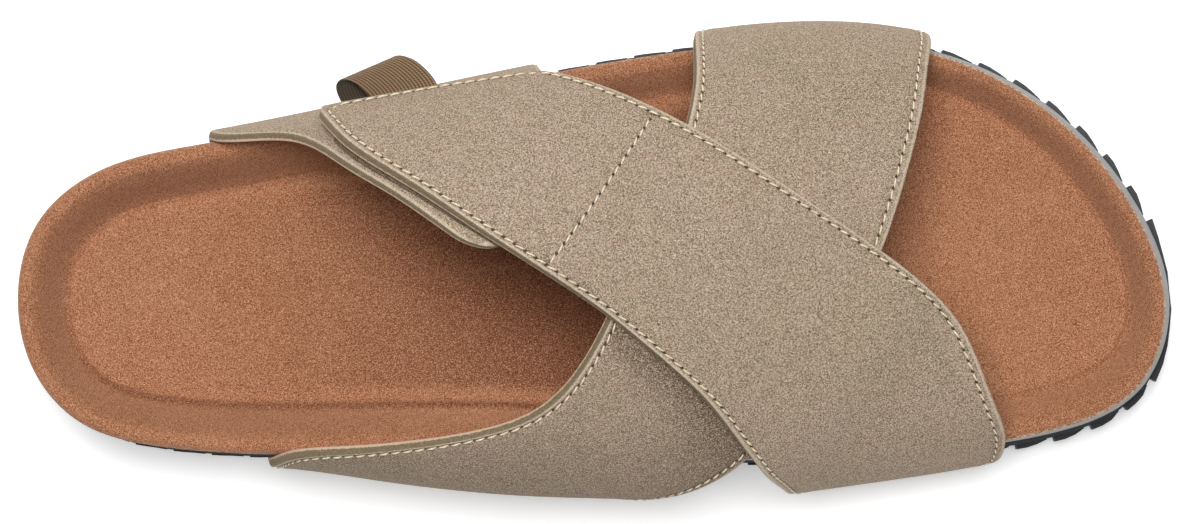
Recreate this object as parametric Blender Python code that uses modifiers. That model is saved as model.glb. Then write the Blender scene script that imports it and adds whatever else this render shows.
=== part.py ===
"""Slide sandal for the left foot: lugged outsole, midsole, moulded footbed and two crossed straps.

Metres, +Z up. The toe points along +X and the outer (lateral) side of the foot along +Y.
The shapes are worked out with the heel end of the footbed at x = 0, and the finished
sandal is then centred over the origin, standing on z = 0.
"""

import math

import bmesh
import bpy
import numpy as np
from mathutils import Vector

# Driving sizes of the foot and of the sole
FOOTBED_LENGTH = 0.2614
BALL_WIDTH = 0.0955
HEEL_WIDTH = 0.0670
INSTEP_HEIGHT = 0.0850
HEEL_RIM_HEIGHT = 0.0430
FOOTBED_WALL = 0.0035
MIDSOLE_DRAFT = 0.0022
OUTSOLE_HEIGHT = 0.0085
OUTSOLE_FLANGE = 0.0026
OUTSOLE_TOP_ROUND = 0.0008
LUG_DEPTH = 0.0042
TOE_SPRING = 0.0070
HEEL_SPRING = 0.0015
WAIST_LIFT = 0.0010

# Tread
LUG_PITCH = 0.0088
LUG_LENGTH = 0.0071
LUG_INWARD = 0.0095
LUG_STEP = 0.0016
LUG_FLUSH = 0.0002
LUG_TOP_DROP = 0.0014
TOE_LUG_OUTER = 0.0220
TOE_LUG_INNER = 0.0160
BAR_PITCH = 0.0125
BAR_LENGTH = 0.0070
BAR_SIDE_GAP = 0.0040
BAR_ROOT = 0.0012
HEEL_PAD_LENGTH = 0.0260
BALL_PAD_LENGTH = 0.0300

# Straps
STRAP_WALL = 0.0022
FASTENING_WALL = 0.0020
TAPE_WALL = 0.0015
STRAP_FUSE = 0.0008
CLEARANCE = 0.0003
BASE_CLEARANCE = 0.0005
FREE_END_WIDTH = 0.0500
CORNER_RADIUS = 0.0050

# Pull loop
RIBBON_WALL = 0.0007
RIBBON_TUCK = 0.0046
RIBBON_HEEL_REACH = 0.0086
RIBBON_TOE_REACH = 0.0112
RIBBON_HEEL_OUT = 0.0066
RIBBON_TOE_OUT = 0.0098

# How finely the curved forms are divided
SIDE_STEPS = 34
STRAP_LENGTH_STEPS = 34
STRAP_WIDTH_STEPS = 7
RIBBON_STEPS = 36
LUG_SAMPLES = 4
TOE_LUG_SAMPLES = 10

# Plan outline of the footbed, once round from the heel: share of the length,
# share of the local width (outer side positive)
OUTLINE = (
    (0.000, -0.128), (0.018, 0.136), (0.070, 0.306), (0.158, 0.397), (0.332, 0.480),
    (0.506, 0.495), (0.663, 0.531), (0.802, 0.503), (0.906, 0.350), (0.976, 0.114),
    (1.000, -0.119), (0.976, -0.300), (0.906, -0.400), (0.767, -0.458), (0.593, -0.470),
    (0.419, -0.517), (0.227, -0.651), (0.123, -0.628), (0.054, -0.546), (0.018, -0.400))
OUTLINE_TOE_ROW = 10

# Sole along its length: share of the length, then shares of the midsole draft, of the
# outsole flange and of the lug step, all three largest at the toe
SOLE_ROWS = (
    (0.00, 0.20, 0.36, 0.24), (0.35, 0.20, 0.38, 0.24), (0.60, 0.25, 0.46, 0.36),
    (0.80, 0.40, 0.54, 0.60), (0.90, 0.72, 0.78, 0.84), (1.00, 1.00, 1.00, 1.00))
# Edge lugs, as shares of the lug step: at their start, their swell, and the toe lug's middle
LUG_START_SHARE = 0.85
LUG_SWELL = 0.35
TOE_LUG_MIDDLE = 0.15
TOE_SPRING_START = 0.78
HEEL_SPRING_END = 0.06
WAIST_START = 0.36
WAIST_END = 0.58
WAIST_FADE = 0.08
TREAD_START = 0.085
TREAD_END = 0.925
HEEL_PAD_PLACE = 0.16
BALL_PAD_PLACE = 0.69

# Footbed along its length: share of the length, rim height and seat height as shares of
# the heel rim height, rim width as a share of the heel width
FOOTBED_ROWS = (
    (0.00, 1.00, 0.70, 0.155), (0.15, 0.98, 0.66, 0.160), (0.30, 0.92, 0.64, 0.160),
    (0.45, 0.80, 0.57, 0.150), (0.60, 0.68, 0.50, 0.140), (0.75, 0.64, 0.47, 0.125),
    (0.90, 0.68, 0.50, 0.115), (1.00, 0.75, 0.55, 0.115))

# Rim section, from its edge inwards: share of the rim width, share of the seat depth
RIM_ROWS = (
    (0.00, 0.12), (0.10, 0.00), (0.32, 0.04), (0.60, 0.30), (0.86, 0.66),
    (1.00, 0.84), (1.08, 0.89), (1.20, 0.84))
# Seat inside the rim: share of the way to the sole's axis, share of the seat depth
SEAT_ROWS = ((0.30, 0.91), (0.60, 0.97), (0.90, 1.00))
AXIS_START = 0.14
AXIS_END = 0.84
ARCH_SUPPORT = 0.0040
ARCH_PLACE = 0.43
ARCH_SPREAD = 0.16

# Straps' inner form over the foot: share of the length, crown height as a share of the
# instep height, bulge past the footbed edge on the outer and inner side as shares of the
# ball width
LAST_ROWS = (
    (0.12, 0.941, 0.0136, 0.0136), (0.22, 0.988, 0.0147, 0.0100), (0.32, 1.000, 0.0157, 0.0450),
    (0.42, 0.976, 0.0140, 0.0750), (0.52, 0.912, 0.0147, 0.0780), (0.62, 0.824, 0.0230, 0.0733),
    (0.72, 0.718, 0.0209, 0.0503), (0.80, 0.629, 0.0157, 0.0314), (0.88, 0.553, 0.0136, 0.0136))
SIDE_HEIGHT = 0.30
SHOULDER_OUT = 0.76
SHOULDER_UP = 0.66
CROWN_SHIFT = -0.031

# Edges of each strap, a row for each cross-line: rear edge then front edge, each as share
# of the footbed length and share of the way over the foot from the outer to the inner side
ADJUSTABLE_STRAP = (
    (0.262, 0.238, 0.458, 0.238), (0.290, 0.325, 0.505, 0.280), (0.340, 0.389, 0.562, 0.332),
    (0.392, 0.441, 0.620, 0.384), (0.445, 0.488, 0.678, 0.438), (0.498, 0.537, 0.735, 0.492),
    (0.548, 0.594, 0.785, 0.550), (0.590, 0.652, 0.818, 0.610), (0.622, 0.720, 0.840, 0.700),
    (0.645, 0.782, 0.855, 0.780), (0.660, 0.840, 0.858, 0.840), (0.674, 0.920, 0.853, 0.920),
    (0.684, 1.000, 0.847, 1.000))
CROSS_STRAP = (
    (0.594, 0.000, 0.790, 0.000), (0.588, 0.120, 0.794, 0.120), (0.587, 0.230, 0.790, 0.200),
    (0.583, 0.300, 0.783, 0.290), (0.570, 0.370, 0.772, 0.370), (0.548, 0.440, 0.759, 0.440),
    (0.522, 0.520, 0.742, 0.510), (0.502, 0.578, 0.720, 0.575), (0.478, 0.630, 0.695, 0.635),
    (0.445, 0.672, 0.668, 0.690), (0.400, 0.697, 0.645, 0.738), (0.340, 0.720, 0.615, 0.787),
    (0.288, 0.743, 0.582, 0.833), (0.246, 0.770, 0.545, 0.885), (0.226, 0.820, 0.520, 0.925),
    (0.216, 0.900, 0.500, 0.965), (0.212, 1.000, 0.490, 1.000))
FASTENING_STRAP = (
    (0.160, 0.000, 0.452, 0.000), (0.163, 0.100, 0.452, 0.100), (0.172, 0.190, 0.456, 0.180),
    (0.205, 0.228, 0.464, 0.240), (0.245, 0.265, 0.478, 0.290), (0.285, 0.333, 0.495, 0.330),
    (0.325, 0.384, 0.512, 0.365), (0.365, 0.430, 0.526, 0.395), (0.402, 0.470, 0.538, 0.420))

# Where the adjustable strap lies on the others, in rows of its own table
TAPE_FIRST_ROW = 0.7
TAPE_LAST_ROW = 3.5
TAPE_REAR_SHARE = 0.04
TAPE_FRONT_SHARE = 0.66
OVER_TAPE_LAST_ROW = 3.7
OVER_STRAP_REAR_ROW = 8.6
OVER_STRAP_FRONT_ROW = 5.3
LIFT_FADE_ROWS = 1.5

# Pull loop's centre line: past the strap's end as a share of its tuck under the strap, off
# the strap's face as a share of the tape's wall, to the heel as a share of its reach,
# outwards and upwards as shares of its outward reach
RIBBON_ROWS = (
    (-1.00, 0.28, 0.00, 0.00, 0.00), (-0.55, 0.28, 0.00, 0.00, 0.00), (-0.09, 0.28, 0.00, 0.00, 0.00),
    (0.22, 0.36, 0.02, 0.09, 0.00), (0.30, 0.53, 0.09, 0.26, 0.00), (0.30, 0.53, 0.22, 0.48, 0.04),
    (0.30, 0.53, 0.40, 0.71, 0.10), (0.30, 0.53, 0.60, 0.89, 0.12), (0.30, 0.53, 0.81, 0.98, 0.04),
    (0.30, 0.40, 0.96, 0.94, -0.12), (0.30, 0.20, 1.00, 0.78, -0.29), (0.30, 0.00, 0.95, 0.57, -0.38),
    (0.34, -0.13, 0.86, 0.33, -0.32), (0.30, -0.26, 0.77, 0.10, -0.15), (-0.17, -0.32, 0.70, 0.00, 0.00),
    (-0.56, -0.32, 0.63, 0.00, 0.00), (-1.04, -0.32, 0.56, 0.00, 0.00))
RIBBON_FIRST_SHARE = 0.262
RIBBON_LAST_SHARE = 0.552
RIBBON_COLUMNS = 4

PART_NAME = "slide_sandal"

COLOURS = {
    "rubber": ((0.035, 0.037, 0.041), 0.80),
    "foam": ((0.400, 0.370, 0.350), 0.75),
    "suede": ((0.420, 0.175, 0.090), 0.90),
    "nubuck": ((0.380, 0.310, 0.230), 0.90),
    "tape": ((0.120, 0.100, 0.075), 0.95),
    "ribbon": ((0.240, 0.170, 0.110), 0.85)}


class Spline:
    """Natural cubic curve through rows of values, or a closed one where a period is given."""

    def __init__(self, knots, rows, period=0.0):
        knots = np.asarray(knots, float)
        rows = np.asarray(rows, float)
        if period:
            knots = np.append(knots, knots[0] + period)
            rows = np.vstack([rows, rows[:1]])
        self.knots = knots
        self.rows = rows
        self.steps = np.diff(knots)
        self.slopes = self.solve_slopes(bool(period))

    def solve_slopes(self, closed):
        """Slopes at the knots that make the curvature continuous."""
        h = self.steps
        chords = np.diff(self.rows, axis=0) / h[:, None]
        count = len(self.knots)
        matrix = np.zeros((count, count))
        right = np.zeros(self.rows.shape)
        for i in range(1, count - 1):
            matrix[i, i - 1:i + 2] = (1 / h[i - 1], 2 / h[i - 1] + 2 / h[i], 1 / h[i])
            right[i] = 3 * (chords[i - 1] / h[i - 1] + chords[i] / h[i])
        if closed:
            matrix[0, 0] = 1
            matrix[0, -1] = -1
            matrix[-1, -2] = 1 / h[-1]
            matrix[-1, -1] = 2 / h[-1] + 2 / h[0]
            matrix[-1, 1] = 1 / h[0]
            right[-1] = 3 * (chords[-1] / h[-1] + chords[0] / h[0])
        else:
            matrix[0, :2] = (2, 1)
            right[0] = 3 * chords[0]
            matrix[-1, -2:] = (1, 2)
            right[-1] = 3 * chords[-1]
        return np.linalg.solve(matrix, right)

    def at(self, place):
        """Values at one place, or at an array of places."""
        places = np.atleast_1d(np.asarray(place, float))
        i = np.clip(np.searchsorted(self.knots, places, side="right") - 1, 0, len(self.steps) - 1)
        h = self.steps[i][:, None]
        u = (places - self.knots[i])[:, None] / h
        start = (1 + 2 * u) * (1 - u) ** 2 * self.rows[i] + u * (1 - u) ** 2 * h * self.slopes[i]
        end = u * u * (3 - 2 * u) * self.rows[i + 1] + u * u * (u - 1) * h * self.slopes[i + 1]
        values = start + end
        return values[0] if np.ndim(place) == 0 else values


def smooth(t):
    """Smooth step from 0 to 1."""
    t = min(max(t, 0.0), 1.0)
    return t * t * (3 - 2 * t)


def mix(a, b, t):
    """Value a at t = 0 and b at t = 1."""
    return a + (b - a) * t


def chord_spline(points, period=False):
    """Spline through points, with their chord lengths from 0 to 1 as its places."""
    points = np.asarray(points, float)
    ends = np.vstack([points, points[:1]]) if period else points
    lengths = np.linalg.norm(np.diff(ends, axis=0), axis=1)
    total = lengths.sum()
    knots = np.concatenate([[0.0], np.cumsum(lengths)]) / total
    if period:
        return Spline(knots[:-1], points, 1.0)
    return Spline(knots, points)


def local_width(share):
    """Width that the outline's shares are of: heel width, growing to the ball width."""
    return mix(HEEL_WIDTH, BALL_WIDTH, smooth((share - 0.2) / 0.4))


def outline_rings():
    """Footbed outline as points once round from the heel tip, with outward normals."""
    points = [(a * FOOTBED_LENGTH, b * local_width(a)) for a, b in OUTLINE]
    curve = chord_spline(points, period=True)
    toe = curve.knots[OUTLINE_TOE_ROW]
    places = np.concatenate([
        np.linspace(0.0, toe, SIDE_STEPS, endpoint=False),
        np.linspace(toe, 1.0, SIDE_STEPS, endpoint=False)])
    ring = curve.at(places)
    ahead = curve.at((places + 0.002) % 1.0)
    behind = curve.at((places - 0.002) % 1.0)
    tangents = ahead - behind
    normals = np.column_stack([-tangents[:, 1], tangents[:, 0]])
    normals /= np.linalg.norm(normals, axis=1)[:, None]
    return ring, normals


OUTLINE_RING, OUTLINE_NORMALS = outline_rings()
OUTER_SIDE = OUTLINE_RING[:SIDE_STEPS + 1]
INNER_SIDE = np.vstack([OUTLINE_RING[SIDE_STEPS:], OUTLINE_RING[:1]])[::-1]
SOLE_CURVE = Spline([row[0] for row in SOLE_ROWS], [row[1:] for row in SOLE_ROWS])
FOOTBED_CURVE = Spline([row[0] for row in FOOTBED_ROWS], [row[1:] for row in FOOTBED_ROWS])
LAST_CURVE = Spline([row[0] for row in LAST_ROWS], [row[1:] for row in LAST_ROWS])


def share_at(x):
    """Share of the footbed length at x."""
    return x / FOOTBED_LENGTH


def footbed_edges(x):
    """Outer and inner edge of the footbed at x."""
    outer = np.interp(x, OUTER_SIDE[:, 0], OUTER_SIDE[:, 1])
    inner = np.interp(x, INNER_SIDE[:, 0], INNER_SIDE[:, 1])
    return outer, inner


def sole_lift(x):
    """Height of the tread over the floor: toe spring, heel spring and the waist between."""
    share = share_at(x)
    toe = max(0.0, (share - TOE_SPRING_START) / (1.0 - TOE_SPRING_START)) ** 2 * TOE_SPRING
    heel = max(0.0, (HEEL_SPRING_END - share) / HEEL_SPRING_END) ** 2 * HEEL_SPRING
    waist_in = smooth((share - WAIST_START) / WAIST_FADE)
    waist_out = smooth((WAIST_END - share) / WAIST_FADE)
    return toe + heel + waist_in * waist_out * WAIST_LIFT


def sole_sizes(x):
    """Midsole draft, outsole flange and lug step at x."""
    return SOLE_CURVE.at(clamped_share(x)) * (MIDSOLE_DRAFT, OUTSOLE_FLANGE, LUG_STEP)


def midsole_draft(x):
    """How far the midsole's foot stands out of the footbed's outline at x."""
    return sole_sizes(x)[0]


def outsole_flange(x):
    """How far the outsole stands out of the footbed's outline at x."""
    return sole_sizes(x)[1]


def offset_ring(outward_of, height_of):
    """Outline moved outwards, outward and height both worked out from each point's x."""
    ring = []
    for (x, y), (nx, ny) in zip(OUTLINE_RING, OUTLINE_NORMALS):
        outward = outward_of(x)
        ring.append(Vector((x + nx * outward, y + ny * outward, height_of(x))))
    return ring


def footbed_surface(drop):
    """Rings of the footbed's top from its edge to its axis, lowered by drop."""
    rings = []
    for inward, down in RIM_ROWS:
        rings.append([rim_point(i, inward, down, drop) for i in range(len(OUTLINE_RING))])
    for way, down in SEAT_ROWS:
        rings.append([seat_point(i, way, down, drop) for i in range(len(OUTLINE_RING))])
    return rings


def clamped_share(x):
    """Share of the length at x, kept within the footbed's table."""
    return min(max(share_at(x), 0.0), 1.0)


def rim_point(i, inward, down, drop):
    """Point of the raised rim: share of the rim width inwards, share of the seat depth down."""
    rim, seat, rim_width = FOOTBED_CURVE.at(clamped_share(OUTLINE_RING[i][0]))
    spot = OUTLINE_RING[i] - OUTLINE_NORMALS[i] * inward * rim_width * HEEL_WIDTH
    height = mix(rim, seat, down) * HEEL_RIM_HEIGHT
    support = arch_support(spot[0], i) * smooth((inward - 0.3) / 0.9)
    return Vector((spot[0], spot[1], height + support - drop))


def seat_point(i, way, down, drop):
    """Point of the seat inside the rim: share of the way to the axis, share of the depth."""
    last_inward = RIM_ROWS[-1][0]
    start = rim_point(i, last_inward, down, drop)
    axis_x = min(max(start.x, AXIS_START * FOOTBED_LENGTH), AXIS_END * FOOTBED_LENGTH)
    outer, inner = footbed_edges(axis_x)
    spot_x = mix(start.x, axis_x, way)
    spot_y = mix(start.y, (outer + inner) / 2, way)
    rim, seat, _ = FOOTBED_CURVE.at(clamped_share(spot_x))
    height = mix(rim, seat, down) * HEEL_RIM_HEIGHT
    support = arch_support(spot_x, i) * smooth(1.0 - way)
    return Vector((spot_x, spot_y, height + support - drop))


def arch_support(x, i):
    """Swell of the footbed under the arch, on the inner side only."""
    if i <= SIDE_STEPS:
        return 0.0
    return ARCH_SUPPORT * math.exp(-((share_at(x) - ARCH_PLACE) / ARCH_SPREAD) ** 2)


def build_loft(name, rings, ladder_caps=True):
    """Closed body through rings of equal count, its ends closed across."""
    mesh_data = bmesh.new()
    loops = [[mesh_data.verts.new(point) for point in ring] for ring in rings]
    count = len(loops[0])
    for lower, upper in zip(loops, loops[1:]):
        for i in range(count):
            j = (i + 1) % count
            mesh_data.faces.new((lower[i], lower[j], upper[j], upper[i]))
    for loop in (loops[0], loops[-1]):
        if ladder_caps:
            close_across(mesh_data, loop)
        else:
            mesh_data.faces.new(loop)
    bmesh.ops.recalc_face_normals(mesh_data, faces=mesh_data.faces[:])
    return finish_mesh(name, mesh_data)


def close_across(mesh_data, loop):
    """Close an outline ring with faces from its outer to its inner side."""
    count = len(loop)
    half = count // 2
    for i in range(half):
        corners = (loop[i], loop[i + 1], loop[(count - i - 1) % count], loop[(count - i) % count])
        face = []
        for corner in corners:
            if corner not in face:
                face.append(corner)
        mesh_data.faces.new(face)


def build_sheet(name, points):
    """Open surface through a grid of points, its faces pointing away from the foot."""
    mesh_data = bmesh.new()
    grid = [[mesh_data.verts.new(point) for point in row] for row in points]
    for row, after in zip(grid, grid[1:]):
        for j in range(len(row) - 1):
            mesh_data.faces.new((row[j], after[j], after[j + 1], row[j + 1]))
    return finish_mesh(name, mesh_data)


def finish_mesh(name, mesh_data):
    """Blender object from mesh data."""
    mesh = bpy.data.meshes.new(name)
    mesh_data.to_mesh(mesh)
    mesh_data.free()
    mesh.shade_smooth()
    mesh.set_sharp_from_angle(angle=math.radians(35))
    return bpy.data.objects.new(name, mesh)


def last_section(x):
    """Curve over the foot at x, from the outer to the inner edge of the sole."""
    share = min(max(share_at(x), LAST_ROWS[0][0]), LAST_ROWS[-1][0])
    crown, outer_bulge, inner_bulge = LAST_CURVE.at(share)
    outer, inner = footbed_edges(x)
    base_out = midsole_draft(x) + BASE_CLEARANCE
    base_z = sole_lift(x) + OUTSOLE_HEIGHT + CLEARANCE
    side_z = SIDE_HEIGHT * INSTEP_HEIGHT
    crown_z = crown * INSTEP_HEIGHT
    crown_y = (outer + inner) / 2 + CROWN_SHIFT * BALL_WIDTH
    outer_y = outer + max(outer_bulge * BALL_WIDTH, base_out)
    inner_y = inner - max(inner_bulge * BALL_WIDTH, base_out)
    shoulder_z = mix(side_z, crown_z, SHOULDER_UP)
    return chord_spline([
        (outer + base_out, base_z), (outer_y, side_z),
        (mix(crown_y, outer_y, SHOULDER_OUT), shoulder_z), (crown_y, crown_z),
        (mix(crown_y, inner_y, SHOULDER_OUT), shoulder_z), (inner_y, side_z),
        (inner - base_out, base_z)])


def last_point(share, across):
    """Point of the straps' inner form."""
    x = share * FOOTBED_LENGTH
    y, z = last_section(x).at(across)
    return Vector((x, y, z))


def over_length(share):
    """Length of the straps' inner form from one edge of the sole to the other."""
    points = last_section(share * FOOTBED_LENGTH).at(np.linspace(0.0, 1.0, 25))
    return np.linalg.norm(np.diff(points, axis=0), axis=1).sum()


def last_normal(share, across):
    """Direction out of the straps' inner form."""
    step = 0.004
    along = last_point(share + step, across) - last_point(share - step, across)
    over = last_point(share, min(across + step, 1.0)) - last_point(share, max(across - step, 0.0))
    return over.cross(along).normalized()


def strap_sheet(table, lift_of, rows, columns, round_start=False, round_end=False):
    """Grid of points of a strap: its table's cross-lines, moved off the foot by lift_of."""
    curve = Spline(range(len(table)), table)
    points = []
    for row in rows:
        rear_share, rear_across, front_share, front_across = curve.at(row)
        line = []
        for u in columns:
            v = u
            if round_start:
                v = rounded(u, row / RADIUS_ROWS)
            if round_end:
                v = rounded(u, (len(table) - 1 - row) / RADIUS_ROWS)
            share = mix(rear_share, front_share, v)
            across = mix(rear_across, front_across, v)
            spot = last_point(share, across) + last_normal(share, across) * lift_of(row, v)
            line.append(spot)
        points.append(line)
    return points


# A rounded corner's radius in rows along a strap and as a share of its width
RADIUS_ROWS = 0.40
RADIUS_WIDTH = CORNER_RADIUS / FREE_END_WIDTH


def rounded(u, way):
    """Share across a strap, drawn in near its free end so that the corners are round."""
    if way >= 1.0:
        return u
    pull = RADIUS_WIDTH * (1.0 - math.sqrt(max(0.0, 1.0 - (1.0 - way) ** 2)))
    return mix(pull, 1.0 - pull, u)


def adjustable_lift(row, u):
    """Height of the adjustable strap over the foot: on the tape, on the cross strap, then down."""
    on_tape = FASTENING_WALL + TAPE_WALL + 2 * CLEARANCE
    on_strap = STRAP_WALL - STRAP_FUSE
    tape_left = 1.0 - smooth((row - OVER_TAPE_LAST_ROW) / LIFT_FADE_ROWS)
    edge_row = mix(OVER_STRAP_REAR_ROW, OVER_STRAP_FRONT_ROW, u)
    strap_left = 1.0 - smooth((row - edge_row) / LIFT_FADE_ROWS)
    return max(mix(on_strap, on_tape, tape_left) * strap_left, 0.0)


def end_rows(count, last, fine_start=False, fine_end=False):
    """Rows along a strap, closer together at a rounded free end."""
    rows = list(np.linspace(0.0, last, count))
    extra = [RADIUS_ROWS * share for share in (0.06, 0.2, 0.45, 0.75)]
    if fine_start:
        rows += extra
    if fine_end:
        rows += [last - value for value in extra]
    return sorted(set(rows))


def add_wall(strap, thickness):
    """Give a strap's open surface its wall, outwards from the foot."""
    wall = strap.modifiers.new("wall", "SOLIDIFY")
    wall.thickness = thickness
    wall.offset = 1.0
    wall.use_even_offset = True


def build_upper(cutters):
    """The two crossed straps, one body where they cross."""
    columns = np.linspace(0.0, 1.0, STRAP_WIDTH_STEPS)
    rows = end_rows(STRAP_LENGTH_STEPS, len(ADJUSTABLE_STRAP) - 1, fine_start=True)
    upper = build_sheet("upper", strap_sheet(
        ADJUSTABLE_STRAP, adjustable_lift, rows, columns, round_start=True))
    add_wall(upper, STRAP_WALL)

    rows = np.linspace(0.0, len(CROSS_STRAP) - 1, STRAP_LENGTH_STEPS + 4)
    cross = build_sheet("cross_strap", strap_sheet(
        CROSS_STRAP, lambda row, u: 0.0, rows, columns))
    add_wall(cross, STRAP_WALL)
    hide_cutter(cross, cutters)

    join = upper.modifiers.new("crossing", "BOOLEAN")
    join.operation = "UNION"
    join.object = cross
    return upper


def build_fastening_strap():
    """Short strap on the outer heel side, under the adjustable strap's free end."""
    columns = np.linspace(0.0, 1.0, STRAP_WIDTH_STEPS)
    last = len(FASTENING_STRAP) - 1
    rows = end_rows(STRAP_LENGTH_STEPS // 2, last, fine_end=True)
    strap = build_sheet("fastening_strap", strap_sheet(
        FASTENING_STRAP, lambda row, u: 0.0, rows, columns, round_end=True))
    add_wall(strap, FASTENING_WALL)
    return strap


def build_closure_tape():
    """Hook-and-loop layer between the fastening strap and the adjustable strap."""
    rows = np.linspace(TAPE_FIRST_ROW, TAPE_LAST_ROW, STRAP_LENGTH_STEPS // 3)
    columns = np.linspace(TAPE_REAR_SHARE, TAPE_FRONT_SHARE, STRAP_WIDTH_STEPS)
    tape = build_sheet("closure_tape", strap_sheet(
        ADJUSTABLE_STRAP, lambda row, u: FASTENING_WALL + CLEARANCE, rows, columns))
    add_wall(tape, TAPE_WALL)
    return tape


def build_pull_loop():
    """Folded ribbon under the adjustable strap's free end, leaning to the heel."""
    rear_share, rear_across, front_share, _ = ADJUSTABLE_STRAP[0]
    path = chord_spline(RIBBON_ROWS)
    mid_lift = FASTENING_WALL + CLEARANCE + TAPE_WALL / 2
    points = []
    for way in np.linspace(0.0, 1.0, RIBBON_STEPS):
        down, off, heelward, outward, up = path.at(way)
        line = []
        for u in np.linspace(0.0, 1.0, RIBBON_COLUMNS):
            share = mix(rear_share, front_share, mix(RIBBON_FIRST_SHARE, RIBBON_LAST_SHARE, u))
            reach = mix(RIBBON_HEEL_REACH, RIBBON_TOE_REACH, u)
            out_reach = mix(RIBBON_HEEL_OUT, RIBBON_TOE_OUT, u)
            across = rear_across - RIBBON_TUCK * down / over_length(share)
            share -= reach * heelward / FOOTBED_LENGTH
            normal = last_normal(share, across)
            spot = last_point(share, across) + normal * (mid_lift + TAPE_WALL * off)
            line.append(spot + Vector((0.0, out_reach * outward, out_reach * up)))
        points.append(line)
    loop = build_sheet("pull_loop", points)
    wall = loop.modifiers.new("wall", "SOLIDIFY")
    wall.thickness = RIBBON_WALL
    wall.offset = 0.0
    return loop


def build_footbed():
    """Moulded insole: raised rim, pressed contour, heel cup and arch support."""
    top = footbed_surface(0.0)
    under = footbed_surface(FOOTBED_WALL)
    under[0] = [Vector((p.x, p.y, q.z)) for p, q in zip(top[0], under[1])]
    del under[1]
    return build_loft("footbed", top[::-1] + under)


def build_midsole():
    """Foam body between the outsole and the footbed, its side drafted outwards."""
    top = footbed_surface(FOOTBED_WALL + CLEARANCE)
    edge_heights = [point.z for point in top[1]]
    rim = [Vector((p.x, p.y, z)) for p, z in zip(top[0], edge_heights)]
    del top[1]
    top[0] = rim
    base = offset_ring(midsole_draft, lambda x: sole_lift(x) + OUTSOLE_HEIGHT + CLEARANCE)
    waist = [low.lerp(high, 0.35) for low, high in zip(base, rim)]
    return build_loft("midsole", [base, waist] + top)


def side_path(order):
    """Outsole's side through outline points in order: places by length, points and normals."""
    flanges = np.array([outsole_flange(OUTLINE_RING[i][0]) for i in order])
    points = OUTLINE_RING[order] + OUTLINE_NORMALS[order] * flanges[:, None]
    lengths = np.linalg.norm(np.diff(points, axis=0), axis=1)
    places = np.concatenate([[0.0], np.cumsum(lengths)])
    return places, points, OUTLINE_NORMALS[order]


def path_point(path, place):
    """Point and outward normal of the outsole's side at a length along it."""
    places, points, normals = path
    x = np.interp(place, places, points[:, 0])
    y = np.interp(place, places, points[:, 1])
    nx = np.interp(place, places, normals[:, 0])
    ny = np.interp(place, places, normals[:, 1])
    return np.array((x, y)), np.array((nx, ny)) / math.hypot(nx, ny)


def side_lug_step(share):
    """Share of the lug step along an edge lug: out at its start, curving in to flush."""
    return LUG_START_SHARE + LUG_SWELL * share - (LUG_START_SHARE + LUG_SWELL) * share ** 2


def toe_lug_step(share):
    """Share of the lug step along the toe lug: out at both ends, nearly flush at the tip."""
    return TOE_LUG_MIDDLE + (1.0 - TOE_LUG_MIDDLE) * (2.0 * share - 1.0) ** 2


def lug_prism(mesh_data, path, start, end, samples, profile):
    """One edge lug, standing out from the outsole's side by its profile."""
    outer_line = []
    inner_line = []
    for share in np.linspace(0.0, 1.0, samples):
        spot, normal = path_point(path, mix(start, end, share))
        step = sole_sizes(spot[0])[2]
        outer_line.append(spot + normal * max(step * profile(share), LUG_FLUSH))
        inner_line.append(spot - normal * LUG_INWARD)
    corners = outer_line + inner_line[::-1]
    rings = []
    for level in (0.0, OUTSOLE_HEIGHT - LUG_TOP_DROP):
        rings.append([mesh_data.verts.new((x, y, sole_lift(x) + level)) for x, y in corners])
    add_prism_faces(mesh_data, rings)


def add_prism_faces(mesh_data, rings):
    """Faces of a prism between a lower and an upper ring."""
    lower, upper = rings
    count = len(lower)
    for i in range(count):
        j = (i + 1) % count
        mesh_data.faces.new((lower[i], lower[j], upper[j], upper[i]))
    mesh_data.faces.new(lower[::-1])
    mesh_data.faces.new(upper)


def bar_block(mesh_data, start, end):
    """Tread block across the sole between its two rows of edge lugs."""
    rings = []
    inset = LUG_INWARD + BAR_SIDE_GAP
    start_outer, start_inner = footbed_edges(start)
    end_outer, end_inner = footbed_edges(end)
    plan = [(start, start_outer - inset), (start, start_inner + inset),
            (end, end_inner + inset), (end, end_outer - inset)]
    for level in (0.0, LUG_DEPTH + BAR_ROOT):
        rings.append([mesh_data.verts.new((x, y, sole_lift(x) + level)) for x, y in plan])
    add_prism_faces(mesh_data, rings)


def tread_blocks():
    """Spans along the sole of the tread blocks: two long flat pads, and bars between."""
    pads = [(HEEL_PAD_PLACE, HEEL_PAD_LENGTH), (BALL_PAD_PLACE, BALL_PAD_LENGTH)]
    spans = []
    for place, length in pads:
        centre = place * FOOTBED_LENGTH
        spans.append((centre - length / 2, centre + length / 2))
    gap = BAR_PITCH - BAR_LENGTH
    runs = [(TREAD_START * FOOTBED_LENGTH, spans[0][0] - gap),
            (spans[0][1] + gap, spans[1][0] - gap),
            (spans[1][1] + gap, TREAD_END * FOOTBED_LENGTH)]
    for start, end in runs:
        count = max(int((end - start + gap) / BAR_PITCH), 0)
        slack = (end - start + gap) - count * BAR_PITCH
        for k in range(count):
            first = start + slack / 2 + k * BAR_PITCH
            spans.append((first, first + BAR_LENGTH))
    return spans


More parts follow.
